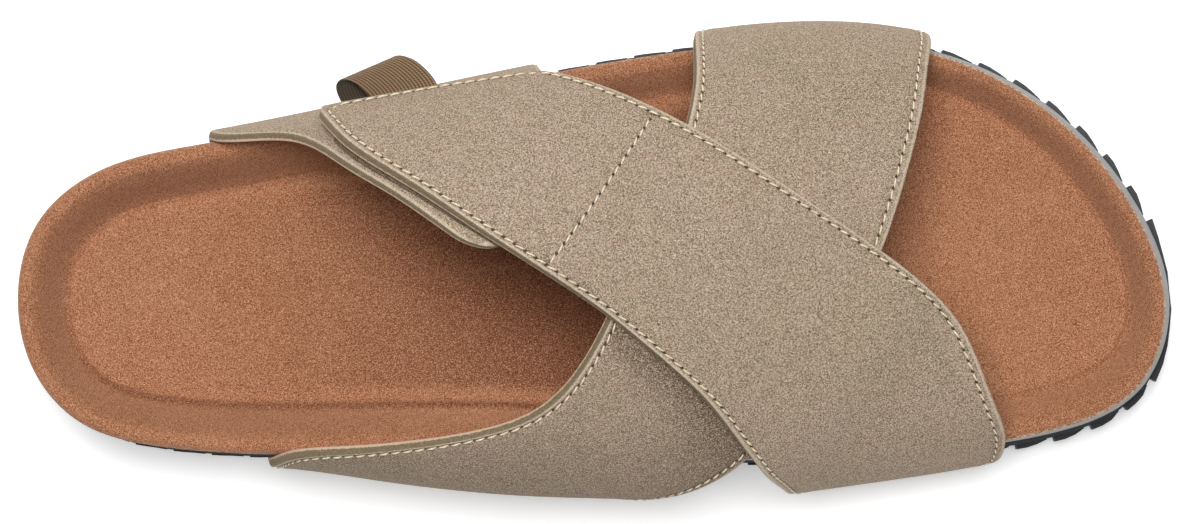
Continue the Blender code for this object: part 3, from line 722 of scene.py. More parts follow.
@dataclass(frozen=True)
class Nubuck:
    """Brushed leather of the straps, with its lining and the raw core along cut edges."""

    name: str = "taupe_nubuck"
    light: tuple = srgb(153, 134, 115)
    rosy: tuple = srgb(163, 133, 116)
    olive: tuple = srgb(143, 129, 103)
    # colour of the painted shade, laid on where the strap's shade value is high
    shade_colour: tuple = srgb(84, 63, 40)
    speck: tuple = srgb(74, 62, 48)
    tip: tuple = srgb(206, 191, 171)
    core: tuple = srgb(104, 92, 68)
    lining: tuple = srgb(186, 160, 138)
    # colour of the painted shade in the needle holes
    hole_shade: tuple = srgb(46, 36, 26)
    sheen: tuple = srgb(255, 222, 184)
    nap_size: float = 0.30 * MM
    nap_drag: float = 0.8
    nap_dark: float = 0.98
    nap_light: float = 0.74
    relief: float = 0.20 * MM
    patch_size: float = 26 * MM
    small_patch_size: float = 5.72 * MM
    rosy_share: float = 0.45
    pitch: float = STITCH_PITCH
    # needle holes: radius, bump depth and share of painted shade in them
    hole: float = 0.34 * MM
    hole_depth: float = 0.4 * MM
    hole_shade_share: float = 0.9
    # loose fibres shift the layers' borders by a share of the wall, and the edge's by a length
    fuzz_scale: float = 1900.0
    fuzz_wall: float = 0.30
    fuzz_edge: float = 1.2 * MM
    # shares of the wall between which the raw core starts and gives way to the lining
    core_start: tuple[float, float] = (0.02, 0.12)
    core_end: tuple[float, float] = (0.66, 0.74)
    # distances from the cut edge: the band that is rubbed pale, and the dark line beside the cut
    rub_start: tuple[float, float] = (0.45 * MM, 0.75 * MM)
    rub_end: tuple[float, float] = (1.65 * MM, 1.2 * MM)
    rub: float = 0.45
    edge_dark_reach: tuple[float, float] = (0.42 * MM, 0.12 * MM)
    edge_darkening: float = 0.75

    def make(self, shop: Workshop) -> bpy.types.Material:
        """Build the material.

        Args:
            shop: workshop with the shared groups.

        Returns:
            The material.
        """
        material, pad, shader = start_material(self.name)
        place = pad.object_place()
        nap = shop.use(pad, Effect.NAP, {"Place": place, "Size": self.nap_size, "Drag": self.nap_drag})
        holes = shop.use(pad, Effect.NEEDLE, {
            "Gap": pad.attribute("seam_gap"), "Run": pad.attribute("seam_run"),
            "Pitch": self.pitch, "Radius": self.hole})
        fuzz = pad.noise(place, self.fuzz_scale, 2.0, 0.6)
        stray = pad.math("SUBTRACT", fuzz, 0.5)
        depth = pad.attribute("depth")
        ragged = pad.plus(depth, pad.times(stray, self.fuzz_wall))
        core = pad.times(pad.ramp(depth, 0.0, 0.03), pad.ramp(ragged, *self.core_start))
        core = pad.times(core, pad.ramp(ragged, *self.core_end[::-1]))
        core = pad.times(core, pad.ramp(fuzz, 0.72, 0.45))
        edge = pad.plus(pad.attribute("edge"), pad.times(stray, self.fuzz_edge))
        rubbed = pad.times(pad.ramp(edge, *self.rub_start), pad.ramp(edge, *self.rub_end))

        base = pad.blend(core, self._dye_and_shade(shop, pad, place), self.core)
        base = pad.tint(base, self.speck, nap.outputs["Speck"], self.nap_dark)
        base = pad.tint(base, self.tip, nap.outputs["Tip"], self.nap_light)
        base = pad.tint(base, self.tip, rubbed, self.rub)
        # darker line right beside the cut edge
        base = pad.tint(base, self.core, pad.ramp(edge, *self.edge_dark_reach), self.edge_darkening)
        base = pad.blend(pad.ramp(ragged, *self.core_end), base, self.lining)
        # painted shade in the needle holes
        base = pad.tint(base, self.hole_shade, holes.outputs["Mask"], self.hole_shade_share)
        pad.put(shader, "Base Color", base)
        pad.put(shader, "Roughness", pad.plus(0.86, pad.times(nap.outputs["Speck"], 0.1)))
        set_constants(shader, {"Specular IOR Level": 0.22, "Sheen Weight": 0.10,
                               "Sheen Roughness": 0.55, "Sheen Tint": self.sheen})
        coarse = add_bump(pad, shader, pad.math("SUBTRACT", 1.0, holes.outputs["Mask"]), self.hole_depth)
        add_bump(pad, shader, nap.outputs["Height"], self.relief, coarse)
        return material

    def _dye_and_shade(self, shop: Workshop, pad: Pad, place: bpy.types.NodeSocket) -> bpy.types.NodeSocket:
        """Uneven dye of the face, with painted shade where the strap's shade value is high.

        Args:
            shop: the workshop with the shared groups.
            pad: pad on the material's nodes.
            place: place on the strap.

        Returns:
            The colour.
        """
        patches = shop.use(pad, Effect.MOTTLE, {"Place": place, "Size": self.patch_size})
        small = shop.use(pad, Effect.MOTTLE, {"Place": place, "Size": self.small_patch_size})
        base = pad.blend(patches.outputs["Mask"], self.olive, self.light)
        base = pad.tint(base, self.rosy, small.outputs["Mask"], self.rosy_share)
        # painted shade: towards the shade colour where the strap's shade value is high
        return pad.blend(pad.attribute("shade"), base, self.shade_colour)


@dataclass(frozen=True)
class Suede:
    """Tan suede over the footbed, with painted shade in its contour and under the straps and painted light on
    the rim's slope.
    """

    name: str = "tan_suede"
    light: tuple = srgb(154, 103, 74)
    middle: tuple = srgb(147, 95, 66)
    # the darker colour below is painted shade for the contour and the suede under the straps; the pale one is
    # painted light on the rim's slope
    shade_colour: tuple = srgb(93, 46, 25)
    pale: tuple = srgb(192, 139, 107)
    speck: tuple = srgb(88, 51, 33)
    tip: tuple = srgb(206, 158, 124)
    fibre: tuple = srgb(226, 206, 178)
    sheen: tuple = srgb(255, 205, 170)
    nap_size: float = 0.26 * MM
    nap_drag: float = 0.5
    nap_dark: float = 0.92
    nap_light: float = 0.66
    painted_shade_share: float = 0.65
    patch_size: float = 20 * MM
    fibre_scale: float = 1400.0
    relief: float = 0.12 * MM

    def make(self, shop: Workshop) -> bpy.types.Material:
        """Build the material.

        Args:
            shop: workshop with the shared groups.

        Returns:
            The material.
        """
        material, pad, shader = start_material(self.name)
        place = pad.object_place()
        nap = shop.use(pad, Effect.NAP, {"Place": place, "Size": self.nap_size, "Drag": self.nap_drag})
        patches = shop.use(pad, Effect.MOTTLE, {"Place": place, "Size": self.patch_size})
        painted_shade_and_tone = pad.attribute("painted_shade_and_tone")
        fuzz = pad.noise(place, self.fibre_scale, 3.0, 0.7, 0.6)
        fibres = pad.times(pad.ramp(fuzz, 0.44, 0.58), pad.attribute("cut_edge"))
        base = pad.blend(patches.outputs["Mask"], self.middle, self.light)
        # painted shade where the value is over 0, painted light where it is under
        base = pad.blend(pad.times(painted_shade_and_tone, self.painted_shade_share, clamp=True), base, self.shade_colour)
        base = pad.blend(pad.times(painted_shade_and_tone, -1.0, clamp=True), base, self.pale)
        base = pad.tint(base, self.speck, nap.outputs["Speck"], self.nap_dark)
        base = pad.tint(base, self.tip, nap.outputs["Tip"], self.nap_light)
        pad.put(shader, "Base Color", pad.blend(fibres, base, self.fibre))
        set_constants(shader, {"Roughness": 0.93, "Specular IOR Level": 0.15, "Sheen Weight": 0.15,
                               "Sheen Roughness": 0.5, "Sheen Tint": self.sheen})
        add_bump(pad, shader, nap.outputs["Height"], self.relief)
        return material


@dataclass(frozen=True)
class Moulded:
    """Moulded finish of the sole: faint patches of dust over one colour, and a fine grain."""

    name: str
    base: tuple
    dust: tuple
    dust_share: float
    patch_size: float
    grain_scale: float
    grain_roughness: float
    smoothest: float
    grain_spread: float
    specular: float
    relief: float

    def make(self, shop: Workshop) -> bpy.types.Material:
        """Build the material.

        Args:
            shop: workshop with the shared groups.

        Returns:
            The material.
        """
        material, pad, shader = start_material(self.name)
        place = pad.object_place()
        patches = shop.use(pad, Effect.MOTTLE, {"Place": place, "Size": self.patch_size})
        grain = pad.noise(place, self.grain_scale, 2.0, self.grain_roughness)
        base = pad.tint(self.base, self.dust, patches.outputs["Mask"], self.dust_share)
        pad.put(shader, "Base Color", base)
        pad.put(shader, "Roughness", pad.plus(self.smoothest, pad.times(grain, self.grain_spread)))
        set_constants(shader, {"Specular IOR Level": self.specular})
        add_bump(pad, shader, grain, self.relief)
        return material


@dataclass(frozen=True)
class Foam(Moulded):
    """Light grey moulded foam of the midsole."""

    name: str = "grey_foam"
    base: tuple = srgb(151, 148, 145)
    dust: tuple = srgb(148, 146, 143)
    dust_share: float = 1.0
    patch_size: float = 12 * MM
    grain_scale: float = 1900.0
    grain_roughness: float = 0.6
    smoothest: float = 0.62
    grain_spread: float = 0.2
    specular: float = 0.3
    relief: float = 0.12 * MM


@dataclass(frozen=True)
class Rubber(Moulded):
    """Charcoal rubber of the outsole."""

    name: str = "charcoal_rubber"
    base: tuple = srgb(35, 38, 43)
    dust: tuple = srgb(58, 60, 63)
    dust_share: float = 0.3
    patch_size: float = 16 * MM
    grain_scale: float = 2600.0
    grain_roughness: float = 0.5
    smoothest: float = 0.5
    grain_spread: float = 0.25
    specular: float = 0.4
    relief: float = 0.08 * MM


@dataclass(frozen=True)
class Webbing:
    """Ribbed ribbon of the pull loop: ribs along it, fine cross yarns between them."""

    name: str = "olive_ribbon"
    light: tuple = srgb(152, 122, 90)
    dark: tuple = srgb(54, 41, 28)
    # colour of the painted shade inside the loop's fold
    shade_colour: tuple = srgb(26, 20, 14)
    relief: float = 0.10 * MM
    yarn: float = 0.55 * MM
    rib_tone: float = 0.72
    yarn_tone: float = 0.2
    fuzz_tone: float = 0.5
    inside_shade_share: float = 0.8

    def make(self, shop: Workshop) -> bpy.types.Material:
        """Build the material.

        Args:
            shop: workshop with the shared groups; not used here.

        Returns:
            The material.
        """
        material, pad, shader = start_material(self.name)
        half = self.yarn / 2
        step = pad.math("PINGPONG", pad.attribute("run"), half)
        cross = pad.ramp(pad.math("DIVIDE", step, half), 0.15, 0.85)
        fuzz = pad.noise(pad.object_place(), 3200.0, 2.0, 0.6)
        tone = pad.plus(pad.times(pad.attribute("rib"), self.rib_tone), pad.times(cross, self.yarn_tone))
        stray = pad.times(pad.math("SUBTRACT", fuzz, 0.5), self.fuzz_tone)
        base = pad.blend(pad.math("ADD", tone, stray, clamp=True), self.dark, self.light)
        # painted shade on the inside of the fold
        pad.put(shader, "Base Color", pad.tint(base, self.shade_colour, pad.attribute("inside"), self.inside_shade_share))
        set_constants(shader, {"Roughness": 0.78, "Specular IOR Level": 0.25, "Sheen Weight": 0.2})
        add_bump(pad, shader, pad.plus(cross, fuzz), self.relief)
        return material


@dataclass(frozen=True)
class Pile:
    """Dark looped pile of the closure tape."""

    name: str = "brown_pile"
    light: tuple = srgb(118, 100, 76)
    dark: tuple = srgb(46, 36, 26)
    loop_size: float = 0.8 * MM
    loop_drag: float = 2.5
    relief: float = 0.5 * MM

    def make(self, shop: Workshop) -> bpy.types.Material:
        """Build the material.

        Args:
            shop: workshop with the shared groups.

        Returns:
            The material.
        """
        material, pad, shader = start_material(self.name)
        nap = shop.use(pad, Effect.NAP, {
            "Place": pad.object_place(), "Size": self.loop_size, "Drag": self.loop_drag})
        pad.put(shader, "Base Color", pad.blend(nap.outputs["Speck"], self.light, self.dark))
        set_constants(shader, {"Roughness": 0.95})
        add_bump(pad, shader, nap.outputs["Height"], self.relief)
        return material


@dataclass(frozen=True)
class Thread:
    """Twisted sewing thread."""

    name: str = "cream_thread"
    light: tuple = srgb(231, 218, 194)
    dark: tuple = srgb(192, 177, 148)
    relief: float = 0.08 * MM

    def make(self, shop: Workshop) -> bpy.types.Material:
        """Build the material.

        Args:
            shop: workshop with the shared groups; not used here.

        Returns:
            The material.
        """
        material, pad, shader = start_material(self.name)
        twist = pad.noise(pad.object_place(), 2800.0, 2.0, 0.5, 1.2)
        pad.put(shader, "Base Color", pad.blend(pad.ramp(twist, 0.35, 0.65), self.dark, self.light))
        set_constants(shader, {"Roughness": 0.7})
        add_bump(pad, shader, twist, self.relief)
        return material


@dataclass(frozen=True)
class Paper:
    """Plain pale floor."""

    name: str = "pale_floor"
    base: tuple = (0.88, 0.88, 0.88, 1.0)
    glow: float = 0.42

    def make(self, shop: Workshop) -> bpy.types.Material:
        """Build the material.

        Args:
            shop: workshop with the shared groups; not used here.

        Returns:
            The material.
        """
        material, _, shader = start_material(self.name)
        set_constants(shader, {
            "Base Color": self.base, "Emission Color": self.base, "Emission Strength": self.glow,
            "Roughness": 0.9, "Specular IOR Level": 0.1})
        return material


def build_grid(name: str, columns: int, rows: int, place: Placer) -> bpy.types.Object:
    """Mesh from a grid that a function puts in place, with touching edges merged and holes closed.

    Args:
        name: the object's name.
        columns: faces one way.
        rows: faces the other way.
        place: gives points and named values for arrays of column and row places.

    Returns:
        The object, in the scene.
    """
    mesh_data = bmesh.new()
    bmesh.ops.create_grid(mesh_data, x_segments=columns, y_segments=rows, size=0.5)
    grid = np.array([vert.co[:2] for vert in mesh_data.verts]) + 0.5
    spots, values = place(grid[:, 0] * columns, grid[:, 1] * rows)
    for vert, spot in zip(mesh_data.verts, spots):
        vert.co = spot
    for title, numbers in values.items():
        layer = mesh_data.verts.layers.float.new(title)
        for vert, number in zip(mesh_data.verts, numbers):
            vert[layer] = number
    bmesh.ops.remove_doubles(mesh_data, verts=mesh_data.verts, dist=1e-7)
    bmesh.ops.holes_fill(mesh_data, edges=mesh_data.edges[:], sides=0)
    bmesh.ops.recalc_face_normals(mesh_data, faces=mesh_data.faces[:])
    return finish_mesh(name, mesh_data)


def finish_mesh(name: str, mesh_data: bmesh.types.BMesh) -> bpy.types.Object:
    """Object in the scene from mesh data, shaded smooth.

    Args:
        name: the object's name.
        mesh_data: its mesh, which is freed.

    Returns:
        The object.
    """
    mesh = bpy.data.meshes.new(name)
    mesh_data.to_mesh(mesh)
    mesh_data.free()
    mesh.shade_smooth()
    mesh.set_sharp_from_angle(angle=SHARP_ANGLE)
    piece = bpy.data.objects.new(name, mesh)
    bpy.context.scene.collection.objects.link(piece)
    return piece


def dress(piece: bpy.types.Object, material: bpy.types.Material) -> None:
    """Give a piece its material and slot, and let it ride on the sandal.

    Args:
        piece: the object.
        material: its material.
    """
    piece.data.materials.clear()
    piece.data.materials.append(material)
    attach(piece, BODY)
    LOG.info("%s: %d faces", piece.name, len(piece.data.polygons))


@dataclass
class Footbed:
    """Moulded suede footbed: raised rim, pressed contour, heel cup and arch."""

    form: FootForm
    shop: Workshop
    around: int = 460
    thickness: float = 2.0 * MM
    # shares of the rim width inwards on the underside
    under_rows: tuple[float, ...] = (1.18, 1.00, 0.82, 0.64, 0.46, 0.28)
    # share of the rim width inwards and height over the cut edge's foot
    wall_rows: Rows = ((0.02, 0.1 * MM), (0.0, 0.5 * MM), (0.0, 2.2 * MM))
    # how much wider the rim is on the inner side of the forefoot, and narrower on the outer
    inner_rim: float = 0.26
    outer_rim: float = 0.08
    outer_inset: float = 0.45 * MM
    forefoot_from: float = 0.45
    forefoot_fade: float = 0.35
    # painted shadow of the straps on the suede under them
    covered_place: float = 0.47
    covered_spread: float = 0.36
    strap_shadow_tone: float = 1.35
    # shares of the rim width over which the arch sets in, the crest's tone ends,
    # and the slope's starts and ends
    support_band: tuple[float, float] = (0.30, 1.20)
    crest_end: tuple[float, float] = (0.25, 0.65)
    slope_start: tuple[float, float] = (0.35, 0.70)
    slope_end: tuple[float, float] = (0.98, 1.06)
    # tones are deeper over 0 and paler under it; pairs are for the forefoot and the heel; the contour's
    # deeper tone is painted shade and the slope's paler tone painted light
    crest_tone: float = 0.26
    slope_tones: tuple[float, float] = (-0.14, -0.25)
    contour_place: float = 0.99
    contour_width: float = 0.055
    contour_tones: tuple[float, float] = (0.55, 1.6)
    tone_limits: tuple[float, float] = (-0.5, 1.6)
    wall_tone: float = 0.4
    # loose fibres: on the rim beside the cut edge, on the cut itself, and their share at the heel
    rim_fibres: float = 0.75
    fibre_reach: float = 0.09
    wall_fibres: float = 0.35
    heel_fibres: float = 0.25
    # share of the rim width inwards, share of the seat depth down
    rim_rows: Rows = (
        (0.00, 0.12), (0.07, 0.02), (0.16, 0.00), (0.28, 0.02), (0.40, 0.10), (0.52, 0.24),
        (0.64, 0.42), (0.76, 0.62), (0.86, 0.78), (0.94, 0.88), (1.00, 0.925), (1.05, 0.90),
        (1.10, 0.87), (1.18, 0.86), (1.30, 0.865))
    # share of the way to the sole's axis, share of the seat depth
    seat_rows: Rows = (
        (0.08, 0.87), (0.16, 0.89), (0.25, 0.905), (0.35, 0.92), (0.45, 0.94), (0.55, 0.96),
        (0.66, 0.98), (0.77, 0.99), (0.88, 1.00), (0.97, 1.00))

    def build(self) -> None:
        """Build and dress the footbed."""
        rim_count = len(self.rim_rows)
        finer = Spline(range(rim_count), self.rim_rows)
        steps = np.arange(0.0, rim_count - 1 + 1e-6, 0.5)
        self.rim_profile = np.maximum(finer.at(steps), 0.0)
        seat_count = len(self.seat_rows)
        self.under_count = 2 + len(self.under_rows) + len(self.wall_rows)
        total = self.under_count + len(self.rim_profile) + seat_count
        piece = build_grid("footbed_suede", self.around, total - 1, self._place)
        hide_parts("footbed")
        dress(piece, self.shop.material(Suede()))

    def _place(self, columns: np.ndarray, rows: np.ndarray) -> tuple[np.ndarray, Values]:
        """Points of the footbed: round the outline by column, from the underside in by row.

        Args:
            columns: column of each grid point.
            rows: row of each grid point.

        Returns:
            Points and the mesh's named values.
        """
        form = self.form
        points, normals = form.ring_at(columns / self.around)
        inner_side = (columns / self.around) > 0.5
        share0 = np.clip(points[:, 0] / form.length, 0.0, 1.0)
        rim, seat, rim_width = form.footbed_curve.at(share0).T
        forward = smooth((share0 - self.forefoot_from) / self.forefoot_fade)
        inner_part = self.inner_rim * np.clip(-normals[:, 1], 0.0, 1.0)
        outer_part = self.outer_rim * np.clip(normals[:, 1], 0.0, 1.0)
        rim_width = rim_width * form.heel_width * (1.0 + forward * (inner_part - outer_part))
        inset = self.outer_inset * forward * np.clip(normals[:, 1], 0.0, 1.0)
        points = points - normals * inset[:, None]
        row = np.rint(rows).astype(int)
        spots = np.zeros((len(row), 3))
        painted_shade_and_tone = np.zeros(len(row))
        cut_edge = np.zeros(len(row))
        rim_low = (rim - (rim - seat) * self.rim_profile[1][1]) * form.rim_height - form.footbed_wall
        down_at = Spline(self.rim_profile[:, 0], self.rim_profile[:, 1:])
        levels = [(2 + k, inward, float(down_at.at(inward)[0]), self.thickness)
                  for k, inward in enumerate(self.under_rows)]
        levels += [(self.under_count + k, inward, down, 0.0)
                   for k, (inward, down) in enumerate(self.rim_profile)]
        for level, inward, down, drop in levels:
            pick = row == level
            edge = points[pick] - normals[pick] * (inward * rim_width[pick])[:, None]
            height = mix(rim[pick], seat[pick], down) * form.rim_height
            support = self._support(edge[:, 0], inner_side[pick]) * ease(inward, *self.support_band)
            spots[pick, :2] = edge
            spots[pick, 2] = height + support - drop
            painted_shade_and_tone[pick] = self._rim_painted_shade(inward, normals[pick, 1], forward[pick])
            cut_edge[pick] = self.rim_fibres * float(smooth(1.0 - inward / self.fibre_reach))
        for k, (inward, rise) in enumerate(self.wall_rows):
            pick = row == 2 + len(self.under_rows) + k
            spots[pick, :2] = points[pick] - normals[pick] * (inward * rim_width[pick])[:, None]
            spots[pick, 2] = rim_low[pick] + rise
            painted_shade_and_tone[pick] = self.wall_tone
            cut_edge[pick] = self.wall_fibres
        first = self.under_count + len(self.rim_profile)
        last_inward = self.rim_profile[-1][0]
        levels = [(first + k, way, down, 0.0) for k, (way, down) in enumerate(self.seat_rows)]
        levels += [(0, *self.seat_rows[-1], self.thickness), (1, *self.seat_rows[2], self.thickness)]
        for level, way, down, drop in levels:
            pick = row == level
            start = points[pick] - normals[pick] * (last_inward * rim_width[pick])[:, None]
            axis_x = np.clip(start[:, 0], form.axis_start * form.length, form.axis_end * form.length)
            outer, inner = form.edges(axis_x)
            spots[pick, 0] = mix(start[:, 0], axis_x, way)
            spots[pick, 1] = mix(start[:, 1], (outer + inner) / 2, way)
            share = np.clip(spots[pick, 0] / form.length, 0.0, 1.0)
            rim_here, seat_here, _ = form.footbed_curve.at(share).T
            support = self._support(spots[pick, 0], inner_side[pick]) * smooth(1.0 - way)
            spots[pick, 2] = mix(rim_here, seat_here, down) * form.rim_height + support - drop
            # painted shadow of the straps over the seat
            under = smooth(1.0 - np.abs(share - self.covered_place) / self.covered_spread)
            painted_shade_and_tone[pick] = self.strap_shadow_tone * under
        cut_edge = cut_edge * mix(self.heel_fibres, 1.0, forward)
        return spots + form.shift, {"painted_shade_and_tone": painted_shade_and_tone, "cut_edge": cut_edge}

    def _support(self, x: np.ndarray, inner_side: np.ndarray) -> np.ndarray:
        """Swell under the arch, on the inner side only.

        Args:
            x: places along the foot.
            inner_side: whether each is on the inner side.

        Returns:
            Extra heights.
        """
        form = self.form
        swell = form.arch_support * bell(x / form.length - form.arch_place, form.arch_spread)
        return np.where(inner_side, swell, 0.0)

    def _rim_painted_shade(self, inward: float, side: np.ndarray, forward: np.ndarray) -> np.ndarray:
        """Painted shade in the rim's pressed contour, painted light on its slope, and the crest's deeper
        tone.

        Args:
            inward: share of the rim width from the edge.
            side: how far the edge faces the outer side, -1 to 1.
            forward: 1 at the forefoot, 0 at the heel.

        Returns:
            Deeper tone over 0, paler under it.
        """
        heel = 1.0 - forward
        inner = np.clip(-side, 0.0, 1.0) * heel
        crest = self.crest_tone * forward * (1.0 - ease(inward, *self.crest_end))
        slope = ease(inward, *self.slope_start) * (1.0 - ease(inward, *self.slope_end))
        slope = slope * mix(*self.slope_tones, heel)
        contour = bell(inward - self.contour_place, self.contour_width) * mix(*self.contour_tones, inner)
        return np.clip(crest + slope + contour, *self.tone_limits)


@dataclass
class Sole:
    """Foam midsole, and the rubber of the lugged outsole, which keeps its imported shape."""

    form: FootForm
    shop: Workshop
    around: int = 420
    # how much further the wall leans out on the outer side of the forefoot, and less on the inner
    outer_wall: float = 0.0003
    inner_wall: float = 0.0006
    forefoot_from: float = 0.68
    forefoot_fade: float = 0.14
    # share of the draft outwards, share of the height, inward share of the rim width
    rows: Rows = (
        (1.0, 0.0, 1.5), (1.0, 0.0, 0.06), (1.0, 0.02, 0.0), (0.94, 0.08, 0.0), (0.72, 0.30, 0.0),
        (0.50, 0.52, 0.0), (0.28, 0.74, 0.0), (0.12, 0.90, 0.0), (0.04, 0.975, 0.0),
        (0.0, 1.0, 0.05), (0.0, 0.985, 0.3), (0.0, 0.45, 1.3))

    def build(self) -> None:
        """Build and dress midsole and outsole."""
        midsole = build_grid("midsole_foam", self.around, len(self.rows) - 1, self._midsole_place)
        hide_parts("midsole")
        dress(midsole, self.shop.material(Foam()))
        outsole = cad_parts["outsole"]
        outsole.data.materials.clear()
        outsole.data.materials.append(self.shop.material(Rubber()))

    def _midsole_place(self, columns: np.ndarray, rows: np.ndarray) -> tuple[np.ndarray, Values]:
        """Points of the midsole: round the outline by column, from its floor up by row.

        Args:
            columns: column of each grid point.
            rows: row of each grid point.

        Returns:
            Points and the mesh's named values.
        """
        form = self.form
        points, normals = form.ring_at(columns / self.around)
        x = points[:, 0]
        share = np.clip(x / form.length, 0.0, 1.0)
        rim, _, rim_width = form.footbed_curve.at(share).T
        rim_width = rim_width * form.heel_width
        forward = smooth((share - self.forefoot_from) / self.forefoot_fade)
        lean = self.outer_wall * np.clip(normals[:, 1], 0.0, 1.0)
        lean = lean - self.inner_wall * np.clip(-normals[:, 1], 0.0, 1.0)
        draft = form.draft(x) + forward * lean
        low = form.lift(x) + form.outsole_height + form.glue_gap
        high = rim * form.rim_height - form.footbed_wall - form.glue_gap
        row = np.rint(rows).astype(int)
        spots = np.zeros((len(row), 3))
        for k, (out, up, inward) in enumerate(self.rows):
            pick = row == k
            outward = draft[pick] * out - rim_width[pick] * inward
            spots[pick, :2] = points[pick] + normals[pick] * outward[:, None]
            spots[pick, 2] = mix(low[pick], high[pick], up)
        return spots + form.shift, {}


def runs_along(points: np.ndarray) -> np.ndarray:
    """Length along a line of points, at each of them."""
    steps = np.linalg.norm(np.diff(points[:, :3], axis=0), axis=1)
    return np.concatenate([[0.0], np.cumsum(steps)])


def no_lift(row: np.ndarray, v: np.ndarray) -> np.ndarray:
    """Lift of a strap that lies on the foot's form."""
    return np.zeros_like(row)


@dataclass(frozen=True)
class Crease:
    """One soft trough or ridge on a strap, between two places given as row and share across."""

    start: tuple[float, float]
    end: tuple[float, float]
    width: float
    depth: float


@dataclass
class Strap:
    """A leather strap swept over the foot: outer face, cut edges and lining in one skin."""

    name: str
    form: FootForm
    table: Rows
    wall: float
    lift: Callable[[np.ndarray, np.ndarray], np.ndarray] = no_lift
    creases: tuple[Crease, ...] = ()
    round_start: bool = False
    round_end: bool = False
    pitch: float = 0.9 * MM
    # a rounded end: its radius, its rows and how they crowd, and in radii how far they reach
    # and where the even rows start
    corner: float = 5.0 * MM
    end_rows: int = 15
    end_crowding: float = 1.6
    end_reach: float = 1.20
    even_from: float = 1.25
    # columns of the face in millimetres from an edge, then evenly over the middle and the lining
    near_edge: tuple[float, ...] = (0.0, 0.75, 0.95, 1.2, 1.45, 1.7, 1.95, 2.25, 2.6, 3.1, 3.7, 4.5, 5.4)
    middle_columns: int = 44
    lining_columns: int = 12
    seam_inset: float = 2.3 * MM
    seam_step: float = 0.3 * MM
    seam_trough: float = 0.24 * MM
    trough_reach: float = 0.75 * MM
    puff: float = 0.10 * MM
    puff_place: float = 1.7 * MM
    puff_reach: float = 1.0 * MM
    edge_soft: float = 0.30 * MM
    soft_reach: float = 0.9 * MM
    # how deep through the wall the soft edge, the creases, the seams and the rubbed edge reach
    soft_depth: float = 0.3
    crease_depth: float = 0.5
    seam_depth: float = 0.2
    face_depth: float = 0.01
    thinnest: float = 0.02
    side_step: float = 0.01
    clean_front: float = 0.5 * MM
    measure_steps: int = 400
    # painted shade: the strap darkens from this row on, over these rows, up to this share
    shade_from: float = 8.5
    shade_rows: float = 5.0
    shade_tone: float = 0.62
    # painted shadow that the strap laid over this one casts along its edge
    over_edge: np.ndarray | None = None
    cast_shadow_tone: float = 1.0
    cast_shadow_reach: float = 6.2 * MM
    # the shade widens down the strap's side: full below this height over the floor
    over_widen: float = 1.7
    over_height: float = 72 * MM
    over_drop: float = 30 * MM
    # depth through the wall, outward place of the cut edge in millimetres
    rear_edge: Rows = (
        (0.00, -0.66), (0.05, -0.48), (0.14, -0.36), (0.26, -0.30), (0.34, -0.27), (0.44, -0.22),
        (0.56, -0.15), (0.66, -0.06), (0.74, 0.06), (0.84, 0.10), (0.94, 0.02), (1.00, -0.14))
    front_edge: Rows = (
        (0.00, -0.24), (0.05, -0.08), (0.14, 0.00), (0.26, 0.02), (0.34, -0.02), (0.44, -0.05),
        (0.56, -0.06), (0.66, -0.04), (0.74, 0.03), (0.84, 0.05), (0.94, 0.00), (1.00, -0.16))

    def __post_init__(self) -> None:
        """Prepare the strap's curve, its rows and its section."""
        self.curve = Spline(range(len(self.table)), self.table)
        self.last_row = len(self.table) - 1
        self.measured = False
        self._measure()
        self.measured = True
        self._make_rows()
        self._make_section()

    def _measure(self) -> None:
        """Lengths along the strap and its width, from its middle line."""
        rows = np.linspace(0.0, self.last_row, self.measure_steps)
        self.run_rows = rows
        self.runs = runs_along(self.spots(rows, np.full(len(rows), 0.5))[0])
        lines = [self.spots(rows, np.full(len(rows), u))[0] for u in (0.0, 0.33, 0.66, 1.0)]
        self.widths = sum(np.linalg.norm(far - near, axis=1) for near, far in zip(lines, lines[1:]))

    def run_at(self, row: np.ndarray | float) -> np.ndarray:
        """Run along the strap at rows of the table."""
        return np.interp(row, self.run_rows, self.runs)

    def row_at(self, run: np.ndarray | float) -> np.ndarray:
        """Rows of the table at runs along the strap."""
        return np.interp(run, self.runs, self.run_rows)

    def width_at(self, row: np.ndarray | float) -> np.ndarray:
        """Width of the strap at rows of the table."""
        return np.interp(row, self.run_rows, self.widths)

    def _make_rows(self) -> None:
        """Rows of the mesh along the strap, close together at a rounded end."""
        total = self.runs[-1]
        runs = list(np.linspace(0.0, total, int(total / self.pitch)))
        fine = (np.linspace(0.0, 1.0, self.end_rows) ** self.end_crowding) * self.corner * self.end_reach
        if self.round_start:
            runs = [r for r in runs if r > self.corner * self.even_from] + list(fine)
        if self.round_end:
            runs = [r for r in runs if r < total - self.corner * self.even_from] + list(total - fine)
        self.mesh_runs = np.array(sorted(runs))
        self.mesh_rows = self.row_at(self.mesh_runs)

    def _make_section(self) -> None:
        """Section of the skin: inner face, rear edge, outer face, front edge, inner face."""
        near = np.array(self.near_edge) * MM / float(np.median(self.widths))
        middle = np.linspace(near[-1], 1.0 - near[-1], self.middle_columns)[1:-1]
        outer = np.concatenate([near, middle, 1.0 - near[::-1]])
        section = [(u, 1.0, 0.0, 0.0) for u in np.linspace(0.5, 0.0, self.lining_columns)[:-1]]
        section += [(0.0, d, o * MM, -1.0) for d, o in self.rear_edge[::-1]]
        section += [(u, 0.0, 0.0, 0.0) for u in outer[1:-1]]
        section += [(1.0, d, o * MM, 1.0) for d, o in self.front_edge]
        section += [(u, 1.0, 0.0, 0.0) for u in np.linspace(1.0, 0.5, self.lining_columns)[1:]]
        self.section = np.array(section)

